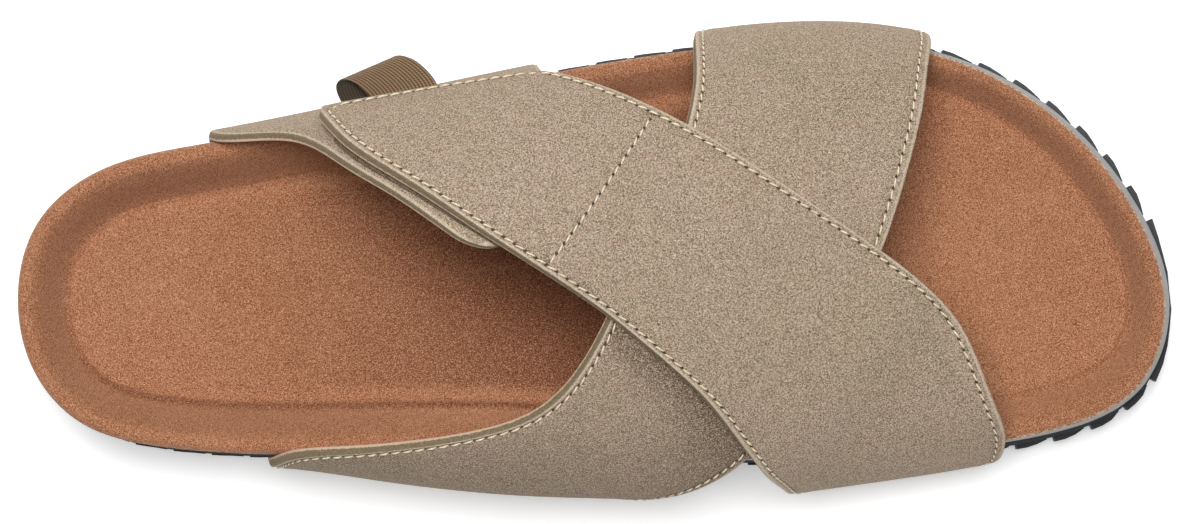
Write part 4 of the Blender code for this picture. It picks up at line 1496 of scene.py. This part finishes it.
    def pull(self, u: np.ndarray, row: np.ndarray) -> np.ndarray:
        """Share across the strap, drawn in near a rounded end once the strap is measured.

        Args:
            u: shares across.
            row: rows of the table.

        Returns:
            Shares across on the real strap.
        """
        if not self.measured:
            return u
        run = self.run_at(row)
        width = self.width_at(row)
        pulled = np.zeros_like(u)
        for used, distance in ((self.round_start, run), (self.round_end, self.runs[-1] - run)):
            if used:
                way = np.clip(distance / self.corner, 0.0, 1.0)
                pulled = pulled + self.corner * (1.0 - np.sqrt(1.0 - (1.0 - way) ** 2)) / width
        return mix(pulled, 1.0 - pulled, u)

    def spots(self, row: np.ndarray, u: np.ndarray) -> tuple[np.ndarray, np.ndarray, np.ndarray]:
        """Points of the strap's inner face.

        Args:
            row: rows of the table.
            u: shares across.

        Returns:
            Points, outward normals, and the shares across on the real strap.
        """
        v = self.pull(np.asarray(u, float), np.asarray(row, float))
        rear_share, rear_over, front_share, front_over = self.curve.at(np.asarray(row, float)).T
        share = mix(rear_share, front_share, v)
        over = mix(rear_over, front_over, v)
        points, normals = self.form.last(share, over)
        return points + normals * self.lift(row, v)[:, None], normals, v

    def seam_path(self, rows: np.ndarray, u: np.ndarray) -> np.ndarray:
        """Points of the outer face along a line, with normals, as rows of six numbers."""
        points, normals, _ = self.spots(rows, u)
        return np.hstack([points + normals * self.wall, normals])

    def edge_seam(self, front: bool, from_run: float, to_run: float) -> np.ndarray:
        """Seam line along one long edge.

        Args:
            front: whether it is the front edge.
            from_run: its start along the strap.
            to_run: its end along the strap.

        Returns:
            Points and normals.
        """
        runs = np.linspace(from_run, to_run, int(abs(to_run - from_run) / self.seam_step) + 2)
        rows = self.row_at(runs)
        inset = self.seam_inset / self.width_at(rows)
        return self.seam_path(rows, 1.0 - inset if front else inset)

    def build(self, seams: Sequence[np.ndarray] = ()) -> bpy.types.Object:
        """Build the strap's mesh.

        Args:
            seams: seam lines on its outer face.

        Returns:
            The object.
        """
        self.tree, self.seam_points, self.seam_data = seam_tree(seams)
        return build_grid(self.name, len(self.section) - 1, len(self.mesh_rows) - 1, self._place)

    def _place(self, columns: np.ndarray, rows: np.ndarray) -> tuple[np.ndarray, Values]:
        """Points of the skin: round the section by column, along the strap by row.

        Args:
            columns: column of each grid point.
            rows: row of each grid point.

        Returns:
            Points and the mesh's named values.
        """
        u, depth, out, side = self.section[np.rint(columns).astype(int)].T
        index = np.rint(rows).astype(int)
        row = self.mesh_rows[index]
        run = self.mesh_runs[index]
        total = self.runs[-1]
        points, normals, v = self.spots(row, u)
        ahead = self.spots(row, u + self.side_step)[0] - self.spots(row, u - self.side_step)[0]
        across = ahead / np.linalg.norm(ahead, axis=1)[:, None]

        edge_gap = np.minimum(v, 1.0 - v) * self.width_at(row)
        end_gap = np.full(len(run), FAR)
        if self.round_start:
            end_gap = np.minimum(end_gap, run)
        if self.round_end:
            end_gap = np.minimum(end_gap, total - run)
        half = self.wall / 2
        close = np.clip(end_gap / half, 0.0, 1.0)
        swell = np.sqrt(np.clip(1.0 - (1.0 - close) ** 2, 0.0, 1.0))
        through = half + (0.5 - depth) * self.wall * np.maximum(swell, self.thinnest)
        rim_gap = np.minimum(edge_gap, end_gap)
        soft = -self.edge_soft * bell(rim_gap, self.soft_reach) * (depth < self.soft_depth)
        relief = soft + self._crease_relief(row, v) * (depth < self.crease_depth)
        spots = points + normals * (through + relief)[:, None] + across * (out * side)[:, None]

        gap = np.full(len(row), FAR)
        runs = np.zeros(len(row))
        if self.tree is not None:
            sewn = depth < self.seam_depth
            for i in np.nonzero(sewn)[0]:
                gap[i], runs[i] = self._nearest(spots[i])
            trough = -self.seam_trough * bell(gap, self.trough_reach)
            puff = self.puff * bell(np.abs(gap) - self.puff_place, self.puff_reach)
            spots = spots + normals * ((trough + puff) * sewn)[:, None]
        edge = np.where(depth < self.face_depth, rim_gap, 0.0)
        edge = np.where((side > 0.0) | (u > 0.5), edge + self.clean_front, edge)
        # painted shade, growing towards the strap's end on the inner side
        shade = self.shade_tone * smooth((row - self.shade_from) / self.shade_rows)
        # painted shadow cast by the edge of the strap laid over this one
        if self.over_edge is not None:
            # every fourth point of the edge is near enough
            offsets = spots[:, None, :2] - self.over_edge[None, ::4, :2]
            gaps = np.sqrt((offsets ** 2).sum(axis=2)).min(axis=1)
            low = smooth((self.over_height - spots[:, 2]) / self.over_drop)
            reach = self.cast_shadow_reach * (1.0 + self.over_widen * low)
            shade = 1.0 - (1.0 - shade) * (1.0 - self.cast_shadow_tone * bell(gaps, reach))
        return spots, {"depth": depth, "seam_gap": gap, "seam_run": runs, "edge": edge, "shade": shade}

    def _nearest(self, spot: np.ndarray) -> tuple[float, float]:
        """Signed distance to the nearest seam and the run along it.

        Args:
            spot: point on the strap.

        Returns:
            The distance and the run.
        """
        _, index, distance = self.tree.find(spot)
        run, side_x, side_y, side_z = self.seam_data[index]
        offset = spot - self.seam_points[index]
        sign = 1.0 if offset @ np.array((side_x, side_y, side_z)) >= 0.0 else -1.0
        return sign * distance, run

    def _flat(self, row: np.ndarray | float, v: np.ndarray | float) -> np.ndarray:
        """Places on the strap laid flat: run along it and distance from its rear edge."""
        return np.stack([self.run_at(row), v * self.width_at(row)], axis=-1)

    def _crease_relief(self, row: np.ndarray, v: np.ndarray) -> np.ndarray:
        """Height of the troughs and ridges over the strap's even face.

        Args:
            row: rows of the table.
            v: shares across.

        Returns:
            The heights.
        """
        spots = self._flat(row, v)
        relief = np.zeros(len(row))
        for crease in self.creases:
            start = self._flat(*crease.start)
            line = self._flat(*crease.end) - start
            t = np.clip((spots - start) @ line / (line @ line), 0.0, 1.0)
            distance = np.linalg.norm(spots - start - t[:, None] * line, axis=1)
            fade = np.sin(np.pi * np.clip(t, 0.02, 0.98)) ** 0.6
            relief += crease.depth * bell(distance, crease.width) * fade
        return relief


def seam_tree(seams: Sequence[np.ndarray]) -> tuple[KDTree | None, np.ndarray, np.ndarray]:
    """Search tree over the points of several seams.

    Args:
        seams: points and normals of each seam.

    Returns:
        The tree, its points, and for each the run and the direction across the seam.
    """
    if not seams:
        return None, np.zeros((0, 3)), np.zeros((0, 4))
    points = []
    data = []
    for seam in seams:
        tangents = np.gradient(seam[:, :3], axis=0)
        sides = np.cross(seam[:, 3:], tangents)
        sides /= np.linalg.norm(sides, axis=1)[:, None]
        points.append(seam[:, :3])
        data.append(np.column_stack([runs_along(seam), sides]))
    points = np.vstack(points)
    data = np.vstack(data)
    tree = KDTree(len(points))
    for i, point in enumerate(points):
        tree.insert(point, i)
    tree.balance()
    return tree, points, data


@dataclass
class Stitching:
    """Thread stitches laid in a seam, each dipping into its needle holes."""

    pitch: float = STITCH_PITCH
    length: float = 2.42 * MM
    thickness: float = 0.43 * MM
    sink: float = 0.12 * MM
    bow: float = 0.20 * MM
    skew: float = 0.16
    taper: float = 0.25

    def build(self, name: str, seams: Sequence[np.ndarray]) -> bpy.types.Object:
        """Build the stitches of several seams as one mesh.

        Args:
            name: the object's name.
            seams: points and normals of each seam.

        Returns:
            The object.
        """
        mesh_data = bmesh.new()
        for seam in seams:
            runs = runs_along(seam)
            for k in range(int(runs[-1] / self.pitch)):
                self._stitch(mesh_data, seam, runs, (k + 0.5) * self.pitch)
        return finish_mesh(name, mesh_data)

    def _stitch(self, mesh_data: bmesh.types.BMesh, seam: np.ndarray, runs: np.ndarray,
                middle: float) -> None:
        """Add one stitch.

        Args:
            mesh_data: mesh to add to.
            seam: points and normals of the seam.
            runs: run at each point.
            middle: run of the stitch's middle.
        """
        half = self.length / 2
        tail, centre, tip = (np.array([np.interp(run, runs, values) for values in seam.T])
                             for run in (middle - half, middle, middle + half))
        normal = Vector(centre[3:]).normalized()
        along = Vector((tip - tail)[:3]).normalized()
        along = (along + normal.cross(along) * self.skew).normalized()
        side = normal.cross(along).normalized()
        new = bmesh.ops.create_uvsphere(mesh_data, u_segments=8, v_segments=8, radius=1.0)["verts"]
        radius = self.thickness / 2
        for vert in new:
            x, y, z = vert.co
            thin = 1.0 - self.taper * z * z
            bend = self.bow * (1.0 - z * z) - self.sink
            vert.co = (Vector(centre[:3]) + along * z * half + side * x * radius * thin
                       + normal * (y * radius * thin + bend))


@dataclass
class CrossedStraps:
    """The adjustable strap over the cross strap, with their seams."""

    form: FootForm
    shop: Workshop
    wall: float = 2.2 * MM
    fastening_wall: float = 2.0 * MM
    tape_wall: float = 1.5 * MM
    clearance: float = 0.3 * MM
    tape_last_row: float = 3.7
    strap_rear_row: float = 8.8
    strap_front_row: float = 5.5
    fade_rows: float = 1.5
    # rows of the adjustable strap's rear edge, whose painted shadow falls on the cross strap
    crossing_rows: tuple[float, float] = (5.2, 9.0)
    # over the cross strap the rear edge rises: height, share across, middle row and rows each way
    edge_rise: float = 1.1 * MM
    rise_share: float = 0.22
    rise_row: float = 7.0
    rise_rows: float = 1.6
    strap_gap: float = 0.12 * MM
    # a seam stops before the sole, and turns round the free end's corners
    seam_stop: float = 2.0 * MM
    seam_corner: float = 2.5 * MM
    seam_side: float = 3.0 * MM
    line_points: int = 200
    end_points: int = 120
    # row and share across, at both ends of the seam where the closure tape ends
    cross_seam: Rows = ((4.05, 0.045), (1.95, 0.955))
    adjustable_rows: Rows = (
        (0.262, 0.238, 0.458, 0.238), (0.290, 0.325, 0.505, 0.280), (0.340, 0.389, 0.562, 0.332),
        (0.392, 0.441, 0.620, 0.384), (0.445, 0.488, 0.678, 0.438), (0.498, 0.537, 0.735, 0.492),
        (0.548, 0.594, 0.785, 0.550), (0.590, 0.652, 0.818, 0.610), (0.622, 0.720, 0.840, 0.700),
        (0.645, 0.782, 0.855, 0.780), (0.660, 0.840, 0.858, 0.840), (0.674, 0.920, 0.853, 0.920),
        (0.684, 1.000, 0.847, 1.000))
    cross_rows: Rows = (
        (0.594, 0.000, 0.790, 0.000), (0.588, 0.120, 0.794, 0.120), (0.587, 0.230, 0.790, 0.200),
        (0.583, 0.300, 0.783, 0.290), (0.570, 0.370, 0.772, 0.370), (0.548, 0.440, 0.759, 0.440),
        (0.522, 0.520, 0.742, 0.510), (0.502, 0.578, 0.720, 0.575), (0.478, 0.630, 0.695, 0.635),
        (0.445, 0.672, 0.668, 0.690), (0.400, 0.697, 0.645, 0.738), (0.340, 0.720, 0.615, 0.787),
        (0.288, 0.743, 0.582, 0.833), (0.246, 0.770, 0.545, 0.885), (0.226, 0.820, 0.520, 0.925),
        (0.216, 0.900, 0.500, 0.965), (0.212, 1.000, 0.490, 1.000))

    def _adjustable_lift(self, row: np.ndarray, v: np.ndarray) -> np.ndarray:
        """Height of the adjustable strap over the foot's form.

        Args:
            row: rows of the table.
            v: shares across.

        Returns:
            The heights.
        """
        on_tape = self.fastening_wall + self.tape_wall + 2 * self.clearance
        on_strap = self.wall + self.strap_gap
        tape_left = 1.0 - smooth((row - self.tape_last_row) / self.fade_rows)
        edge_row = mix(self.strap_rear_row, self.strap_front_row, v)
        strap_left = 1.0 - smooth((row - edge_row) / self.fade_rows)
        rise = self.edge_rise * smooth((self.rise_share - v) / self.rise_share)
        rise = rise * bell(row - self.rise_row, self.rise_rows)
        return mix(on_strap, on_tape, tape_left) * strap_left + rise

    def build(self) -> None:
        """Build and dress both straps and their stitches."""
        over = Strap("adjustable_strap", self.form, self.adjustable_rows, self.wall,
                     self._adjustable_lift, ADJUSTABLE_CREASES, round_start=True, shade_tone=0.08)
        self._sew(over, [self._border_seam(over), self._cross_seam(over)], "adjustable_stitches")

        under = Strap("cross_strap", self.form, self.cross_rows, self.wall, creases=CROSS_CREASES)
        crossing = np.linspace(*self.crossing_rows, self.line_points)
        # the adjustable strap's rear edge paints its shadow on the cross strap
        under.over_edge = over.seam_path(crossing, np.zeros_like(crossing))
        stop = under.runs[-1] - self.seam_stop
        seams = [under.edge_seam(front, self.seam_stop, stop) for front in (False, True)]
        self._sew(under, seams, "cross_stitches")

    def _sew(self, strap: Strap, seams: Sequence[np.ndarray], stitches: str) -> None:
        """Build and dress one strap and its stitches.

        Args:
            strap: the strap.
            seams: its seam lines.
            stitches: name of the stitches' piece.
        """
        piece = strap.build(seams)
        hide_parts("upper")
        dress(piece, self.shop.material(Nubuck()))
        dress(Stitching().build(stitches, seams), self.shop.material(Thread()))

    def _border_seam(self, strap: Strap) -> np.ndarray:
        """Seam round the adjustable strap: up its rear edge, over its end, down its front edge.

        Args:
            strap: the adjustable strap.

        Returns:
            Points and normals.
        """
        stop = strap.runs[-1] - self.seam_stop
        start = strap.seam_inset + self.seam_corner
        rear = strap.edge_seam(False, stop, start)
        front = strap.edge_seam(True, start, stop)
        share = (strap.seam_inset + self.seam_side) / strap.widths[0]
        across = np.linspace(share, 1.0 - share, self.end_points)
        end = strap.seam_path(np.full(len(across), strap.row_at(strap.seam_inset)), across)
        return np.vstack([rear, end, front])

    def _cross_seam(self, strap: Strap) -> np.ndarray:
        """Seam across the adjustable strap where the closure tape ends.

        Args:
            strap: the adjustable strap.

        Returns:
            Points and normals.
        """
        (first_row, first_share), (last_row, last_share) = self.cross_seam
        t = np.linspace(0.0, 1.0, self.line_points)
        return strap.seam_path(mix(first_row, last_row, t), mix(first_share, last_share, t))


ADJUSTABLE_CREASES = (
    Crease((4.6, 0.05), (3.1, 0.85), 5.0 * MM, -0.35 * MM),
    Crease((5.6, 0.10), (4.2, 0.95), 6.0 * MM, 0.30 * MM),
    Crease((7.4, 0.15), (6.6, 0.70), 7.0 * MM, -0.35 * MM),
    Crease((9.2, 0.10), (8.4, 0.75), 6.0 * MM, 0.25 * MM),
)
CROSS_CREASES = (
    Crease((2.6, 0.35), (3.9, 0.92), 5.0 * MM, -0.40 * MM),
    Crease((1.4, 0.15), (2.4, 0.70), 6.0 * MM, 0.25 * MM),
    Crease((10.6, 0.30), (12.4, 0.55), 7.0 * MM, -0.45 * MM),
    Crease((11.8, 0.20), (13.0, 0.75), 6.0 * MM, 0.30 * MM),
)


@dataclass
class Closure:
    """Fastening strap on the outer heel side with its hook-and-loop tape."""

    form: FootForm
    shop: Workshop
    straps: CrossedStraps
    fastening_rows: Rows = (
        (0.160, 0.000, 0.452, 0.000), (0.163, 0.100, 0.452, 0.100), (0.172, 0.190, 0.456, 0.180),
        (0.205, 0.228, 0.464, 0.240), (0.245, 0.265, 0.478, 0.290), (0.285, 0.333, 0.495, 0.330),
        (0.325, 0.384, 0.512, 0.365), (0.365, 0.430, 0.526, 0.395), (0.402, 0.470, 0.538, 0.420))
    tape_first_row: float = 0.7
    tape_last_row: float = 3.5
    tape_rear: float = 0.0
    tape_front: float = 0.66

    def build(self) -> None:
        """Build and dress the fastening strap and the tape."""
        strap = Strap("fastening_nubuck", self.form, self.fastening_rows, self.straps.fastening_wall,
                      round_end=True)
        piece = strap.build()
        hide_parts("fastening_strap")
        dress(piece, self.shop.material(Nubuck()))

        table = self.straps.adjustable_rows
        curve = Spline(range(len(table)), table)
        rows = np.linspace(self.tape_first_row, self.tape_last_row, 8)
        ends = curve.at(rows)
        rear, front = (mix(ends[:, :2], ends[:, 2:], share) for share in (self.tape_rear, self.tape_front))
        lift = self.straps.fastening_wall + self.straps.clearance
        tape = Strap("closure_pile", self.form, np.hstack([rear, front]), self.straps.tape_wall,
                     lambda row, v: np.full_like(row, lift))
        piece = tape.build()
        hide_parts("closure_tape")
        dress(piece, self.shop.material(Pile()))


@dataclass
class PullLoop:
    """Folded ribbed ribbon under the adjustable strap's free end."""

    form: FootForm
    shop: Workshop
    end_row: tuple[float, ...]
    mid_lift: float = 3.05 * MM
    tape_wall: float = 1.5 * MM
    wall: float = 0.60 * MM
    tuck: float = 0.0046
    heel_reach: float = 0.0086
    toe_reach: float = 0.0112
    heel_out: float = 0.0066
    toe_out: float = 0.0098
    first_share: float = 0.262
    last_share: float = 0.552
    ribs: int = 19
    rib_height: float = 0.22 * MM
    rib_steps: int = 8
    steps: int = 170
    # where on the strap's width its length over the foot is taken
    length_place: float = 0.4
    # share of the wall between the ribs, how full the ribs are, and the step of its slopes
    core: float = 0.55
    rib_fullness: float = 0.7
    slope_step: float = 0.004
    measure_steps: int = 200
    # past the strap's end as a share of the tuck, off its face as a share of the tape's wall,
    # to the heel as a share of the reach, outwards and upwards as shares of the outward reach
    path: Rows = (
        (-1.00, 0.28, 0.00, 0.00, 0.00), (-0.55, 0.28, 0.00, 0.00, 0.00), (-0.09, 0.28, 0.00, 0.00, 0.00),
        (0.22, 0.36, 0.02, 0.09, 0.00), (0.30, 0.53, 0.09, 0.26, 0.00), (0.30, 0.53, 0.22, 0.48, 0.04),
        (0.30, 0.53, 0.40, 0.71, 0.10), (0.30, 0.53, 0.60, 0.89, 0.12), (0.30, 0.53, 0.81, 0.98, 0.04),
        (0.30, 0.40, 0.96, 0.94, -0.12), (0.30, 0.20, 1.00, 0.78, -0.29), (0.30, 0.00, 0.95, 0.57, -0.38),
        (0.34, -0.13, 0.86, 0.33, -0.32), (0.30, -0.26, 0.77, 0.10, -0.15), (-0.17, -0.32, 0.70, 0.00, 0.00),
        (-0.56, -0.32, 0.63, 0.00, 0.00), (-1.04, -0.32, 0.56, 0.00, 0.00))

    def build(self) -> None:
        """Build and dress the ribbon."""
        self.across = self.ribs * self.rib_steps
        self.line = chord_spline(self.path)
        self.run_ways = np.linspace(0.0, 1.0, self.measure_steps)
        self.runs = runs_along(self._middle(self.run_ways, np.full(len(self.run_ways), 0.5)))
        piece = build_grid("pull_ribbon", 2 * self.across, self.steps, self._place)
        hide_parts("pull_loop")
        dress(piece, self.shop.material(Webbing()))

    def _middle(self, way: np.ndarray, u: np.ndarray) -> np.ndarray:
        """Points of the ribbon's middle surface.

        Args:
            way: shares along the folded ribbon.
            u: shares across it, from its heel side.

        Returns:
            The points.
        """
        rear_share, rear_over, front_share, _ = self.end_row
        down, off, heelward, outward, up = self.line.at(way).T
        share = mix(rear_share, front_share, mix(self.first_share, self.last_share, u))
        over_length = self.form.over_length(float(mix(rear_share, front_share, self.length_place)))
        over = rear_over - self.tuck * down / over_length
        share = share - heelward * mix(self.heel_reach, self.toe_reach, u) / self.form.length
        out = mix(self.heel_out, self.toe_out, u)
        points, normals = self.form.last(share, over)
        points = points + normals * (self.mid_lift + self.tape_wall * off)[:, None]
        points[:, 1] += outward * out
        points[:, 2] += up * out
        return points

    def _place(self, columns: np.ndarray, rows: np.ndarray) -> tuple[np.ndarray, Values]:
        """Points of the ribbon: over the face in its fold and back over the other one by column.

        Args:
            columns: column of each grid point.
            rows: row of each grid point.

        Returns:
            Points and the mesh's named values.
        """
        inside = np.where(columns <= self.across, 1.0, 0.0)
        u = np.where(inside > 0.0, columns, 2 * self.across - columns) / self.across
        way = np.clip(rows / self.steps, 0.0, 1.0)
        middle = self._middle(way, u)
        step = self.slope_step
        along = self._middle(np.clip(way + step, 0, 1), u) - self._middle(np.clip(way - step, 0, 1), u)
        across = self._middle(way, u + step) - self._middle(way, u - step)
        normal = np.cross(along, across)
        normal /= np.linalg.norm(normal, axis=1)[:, None]
        rib = 0.5 - 0.5 * np.cos(2 * np.pi * u * self.ribs)
        run = np.interp(way, self.run_ways, self.runs)
        half = self.wall / 2 * self.core + self.rib_height / 2 * rib ** self.rib_fullness
        spots = middle + normal * (half * mix(-1.0, 1.0, inside))[:, None]
        return spots, {"rib": rib, "run": run, "inside": inside}


@dataclass
class Studio:
    """Floor, lights and camera."""

    form: FootForm
    shop: Workshop
    camera_height: float = 1.6
    floor_scale: float = 0.0002331
    frame_width: int = 1200
    sensor: float = 36.0
    tilt: float = math.radians(1.0)
    aim_height: float = 0.030
    photo_heel: float = -0.1322
    surround: float = 0.22
    key_place: tuple[float, float, float] = (-0.08, 0.30, 1.66)
    key_size: float = 0.75
    key_power: float = 34.0
    fill_place: tuple[float, float, float] = (0.4, 0.0, 1.9)
    fill_size: float = 1.2
    fill_power: float = 3.0
    floor_reach: float = 4.0
    view_reach: float = 20.0

    def build(self) -> None:
        """Place the floor, the lights and the camera."""
        self._floor()
        self._lights()
        self._camera()

    def _floor(self) -> None:
        """Plain pale floor."""
        mesh_data = bmesh.new()
        bmesh.ops.create_grid(mesh_data, x_segments=1, y_segments=1, size=self.floor_reach)
        floor = finish_mesh("floor", mesh_data)
        floor.data.materials.append(self.shop.material(Paper()))

    def _lights(self) -> None:
        """Large soft lights and a pale surround."""
        world = bpy.data.worlds.new("surround")
        bpy.context.scene.world = world
        world.use_nodes = True
        background = world.node_tree.nodes["Background"]
        set_constants(background, {"Color": (1.0, 1.0, 1.0, 1.0), "Strength": self.surround})
        self._area("key", self.key_place, self.key_size, self.key_power)
        self._area("fill", self.fill_place, self.fill_size, self.fill_power)

    def _area(self, name: str, place: tuple[float, float, float], size: float, power: float) -> None:
        """One soft light turned to the sandal.

        Args:
            name: the light's name.
            place: where it stands.
            size: its side.
            power: its strength in watts.
        """
        light = bpy.data.lights.new(name, "AREA")
        light.size = size
        light.energy = power
        lamp = bpy.data.objects.new(name, light)
        lamp.location = place
        lamp.rotation_euler = (-Vector(place)).to_track_quat("-Z", "Y").to_euler()
        bpy.context.scene.collection.objects.link(lamp)

    def _camera(self) -> None:
        """Camera nearly straight above, a little to the inner side."""
        data = bpy.data.cameras.new("camera")
        data.sensor_width = self.sensor
        data.lens = self.camera_height / self.floor_scale * self.sensor / self.frame_width
        data.clip_end = self.view_reach
        camera = bpy.data.objects.new("camera", data)
        aim = Vector((self.form.heel_x - self.photo_heel, self.form.shift[1], self.aim_height))
        distance = self.camera_height - self.aim_height
        camera.location = aim + Vector((0.0, -math.sin(self.tilt), math.cos(self.tilt))) * distance
        camera.rotation_euler = (self.tilt, 0.0, 0.0)
        bpy.context.scene.collection.objects.link(camera)
        bpy.context.scene.camera = camera
        bpy.context.scene.view_settings.view_transform = "Standard"


def main() -> None:
    """Build the sandal and its studio."""
    logging.basicConfig(level=logging.INFO, format="%(message)s")
    low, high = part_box("footbed")
    form = FootForm(length=high.x - low.x, heel_x=low.x)
    shop = Workshop()
    Studio(form, shop).build()
    Footbed(form, shop).build()
    Sole(form, shop).build()
    straps = CrossedStraps(form, shop)
    straps.build()
    Closure(form, shop, straps).build()
    PullLoop(form, shop, straps.adjustable_rows[0]).build()


if __name__ == "__main__":
    main()
